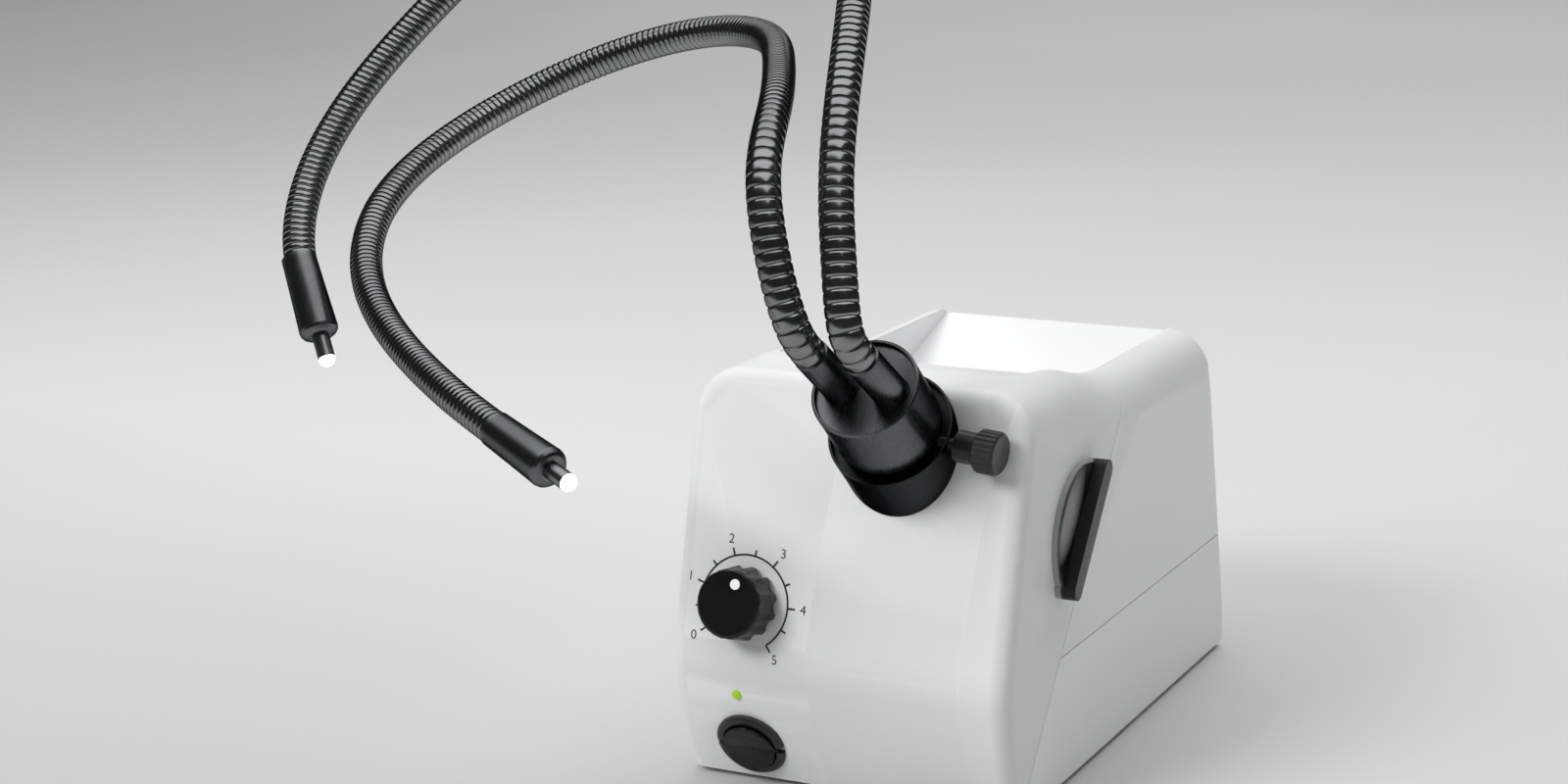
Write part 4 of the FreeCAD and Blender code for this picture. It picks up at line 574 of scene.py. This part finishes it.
def mesh_object(name, mesh, smooth=True):
    mesh.normal_update()
    data = bpy.data.meshes.new(name)
    mesh.to_mesh(data)
    mesh.free()
    made = bpy.data.objects.new(name, data)
    bpy.context.scene.collection.objects.link(made)
    if smooth:
        data.shade_smooth()
    return made


def make_arm(side, sign, shares, cover):
    """One hose in five pieces: the outer two ride, the three between them cross a bend each."""
    line = arm_line(sign, shares)
    rings, starts = rib_rings(line)
    frames = steady_sides(line, rings)
    bodies = ["guide_head"] + [side + "_arm_" + part for part in ("rise", "arch", "end")]
    bends = [line.nearest(Vector(JOINTS[body + "_bend"]["pos_m"])) for body in bodies[1:]]
    stops = [0.0] + bends + [line.length]
    cuts = [0]
    for a, b in zip(stops, stops[1:]):
        rib = min(range(len(starts)), key=lambda i: abs(starts[i] - (a + b) / 2))
        cuts.append(rib * len(RIB_SHARES) + 1)
    cuts.append(len(rings) - 1)
    for i, (low, high) in enumerate(zip(cuts, cuts[1:])):
        made = ring_mesh(
            "arm_%s_%d" % (side, i + 1), line, rings[low : high + 1], frames[low : high + 1]
        )
        made.data.materials.append(cover)
        if 0 < i < len(cuts) - 2:
            middle = bends[i - 1]
            line.at(middle - BEND_REACH)
            line.at(middle + BEND_REACH)
            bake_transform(made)
            continue
        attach(made, bodies[0] if i == 0 else bodies[-1])
        low_nodes = (1, 2) if i == 0 else (3, 4)
        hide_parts(*("hose_%s_%d" % (side, n) for n in low_nodes))


# Dial print
def knob_frame():
    """The knob's axis as Z, with X to the right and Y up the front."""
    joint = JOINTS["brightness_turn"]
    out = Vector(joint["axis"])
    across = Vector((1, 0, 0))
    up = out.cross(across)
    turn = Matrix((across, up, out)).transposed().to_4x4()
    return Matrix.Translation(Vector(joint["pos_m"])) @ turn


def laid_on(made, surface, stand):
    """Drops every corner of a flat print onto the surface below it."""
    down = -(stand.to_3x3() @ Vector((0, 0, 1)))
    for corner in made.data.vertices:
        place = stand @ corner.co
        hit = surface.ray_cast(place - down * PRINT_DROP, down)[0]
        corner.co = (hit or place) - down * PRINT_LIFT


def strip(mesh, start, end, width):
    """A short flat bar from start to end."""
    along = (end - start).normalized()
    out = Vector((-along.y, along.x, 0)) * (width / 2)
    corners = [mesh.verts.new(p) for p in (start - out, end - out, end + out, start + out)]
    mesh.faces.new(corners)


def dial_point(radius, degrees):
    angle = math.radians(degrees)
    return Vector((radius * math.cos(angle), radius * math.sin(angle), 0))


def dial_lines():
    mesh = bmesh.new()
    last = DIAL_FIRST - DIAL_STEP * (DIAL_TICKS - 1)
    inner, outer = DIAL_RADIUS - DIAL_LINE / 2, DIAL_RADIUS + DIAL_LINE / 2
    rows = []
    for i in range(DIAL_ARC_STEPS + 1):
        degrees = DIAL_FIRST + (last - DIAL_FIRST) * i / DIAL_ARC_STEPS
        rows.append([mesh.verts.new(dial_point(r, degrees)) for r in (inner, outer)])
    for a, b in zip(rows, rows[1:]):
        mesh.faces.new((a[0], b[0], b[1], a[1]))
    for i in range(DIAL_TICKS):
        degrees = DIAL_FIRST - DIAL_STEP * i
        length = TICK_LENGTH if i % 2 == 0 else TICK_LENGTH * SHORT_TICK_SHARE
        strip(
            mesh, dial_point(DIAL_RADIUS, degrees), dial_point(DIAL_RADIUS + length, degrees),
            DIAL_LINE,
        )
    return mesh_object("dial_lines", mesh, smooth=False)


def numeral(value):
    words = bpy.data.curves.new("numeral", "FONT")
    words.body = str(value)
    words.size = NUMERAL_HEIGHT / FONT_HEIGHT_SHARE
    words.align_x = "CENTER"
    words.align_y = "CENTER"
    words.resolution_u = NUMERAL_ROUNDING
    holder = bpy.data.objects.new("numeral", words)
    data = bpy.data.meshes.new_from_object(holder)
    bpy.data.objects.remove(holder)
    made = bpy.data.objects.new("dial_numeral_%d" % value, data)
    bpy.context.scene.collection.objects.link(made)
    place = dial_point(NUMERAL_RADIUS, DIAL_FIRST - 2 * DIAL_STEP * value)
    data.transform(Matrix.Translation(place))
    return made


def make_dial():
    surface = BVHTree.FromObject(
        NODES["front_bezel"], bpy.context.evaluated_depsgraph_get()
    )
    ink = dial_print()
    stand = knob_frame()
    for made in [dial_lines()] + [numeral(value) for value in range(6)]:
        laid_on(made, surface, stand)
        made.data.materials.clear()
        made.data.materials.append(ink)
        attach(made, "housing")


# Floor, light and camera
def make_floor():
    """A pale floor with painted shade, darker toward the front."""
    mesh = bmesh.new()
    r = FLOOR_REACH
    corners = [mesh.verts.new((x, y, 0)) for x, y in ((-r, -r), (r, -r), (r, r), (-r, r))]
    mesh.faces.new(corners)
    floor = mesh_object("floor", mesh, smooth=False)
    shader = Shader("floor_pale")
    cloud = shader.levels(shader.noise(0.9, 2.0), 0.0, 1.0)
    tone = shader.mix(cloud, tuple(c * 0.96 for c in PALE), PALE)
    depth = shader.node("ShaderNodeSeparateXYZ")
    shader.join(shader.place, depth.inputs[0])
    # Painted shade: the floor darkens toward the front.
    far = shader.levels(depth.outputs["Y"], 0.0, 1.0, SHADE_FROM, SHADE_TO)
    near = shader.mix(1.0, tone, (NEAR_SHADE,) * 3, "MULTIPLY")
    shader.colour(shader.mix(far, near, tone))
    shader.set(Roughness=0.7)
    floor.data.materials.append(shader.material)


def soft_lamp(name, place, target, size, power, mirrored):
    lamp = bpy.data.lights.new(name, "AREA")
    lamp.shape = "RECTANGLE"
    lamp.size, lamp.size_y = size
    lamp.energy = power
    made = bpy.data.objects.new(name, lamp)
    made.location = place
    made.rotation_euler = (Vector(target) - Vector(place)).to_track_quat("-Z", "Y").to_euler()
    made.visible_glossy = mirrored
    bpy.context.scene.collection.objects.link(made)


def make_lights():
    for row in LAMPS:
        soft_lamp(*row)
    world = bpy.data.worlds.new("studio")
    world.use_nodes = True
    sky = world.node_tree.nodes["Background"]
    sky.inputs["Color"].default_value = WORLD_COLOUR
    sky.inputs["Strength"].default_value = WORLD_STRENGTH
    bpy.context.scene.world = world


def make_camera():
    yaw, pitch, roll = (math.radians(a) for a in (CAMERA_YAW, CAMERA_PITCH, CAMERA_ROLL))
    ahead = Vector((
        -math.sin(yaw) * math.cos(pitch), math.cos(yaw) * math.cos(pitch), -math.sin(pitch)
    ))
    right = Vector((math.cos(yaw), math.sin(yaw), 0))
    up = right.cross(ahead)
    tilt_right = right * math.cos(roll) + up * math.sin(roll)
    tilt_up = up * math.cos(roll) - right * math.sin(roll)
    data = bpy.data.cameras.new("camera")
    data.lens = CAMERA_LENS
    data.sensor_width = SENSOR
    data.clip_start = CLIP_NEAR
    data.clip_end = CLIP_FAR
    camera = bpy.data.objects.new("camera", data)
    turn = Matrix((tilt_right, tilt_up, -ahead)).transposed().to_4x4()
    camera.matrix_world = Matrix.Translation(CAMERA_PLACE) @ turn
    bpy.context.scene.collection.objects.link(camera)
    bpy.context.scene.camera = camera


def main():
    bpy.context.scene.view_settings.view_transform = "Standard"
    paint_nodes()
    cover = hose_cover()
    make_arm("left", -1, LEFT_ROUTE_SHARES, cover)
    make_arm("right", 1, RIGHT_ROUTE_SHARES, cover)
    make_dial()
    make_floor()
    make_lights()
    make_camera()


main()
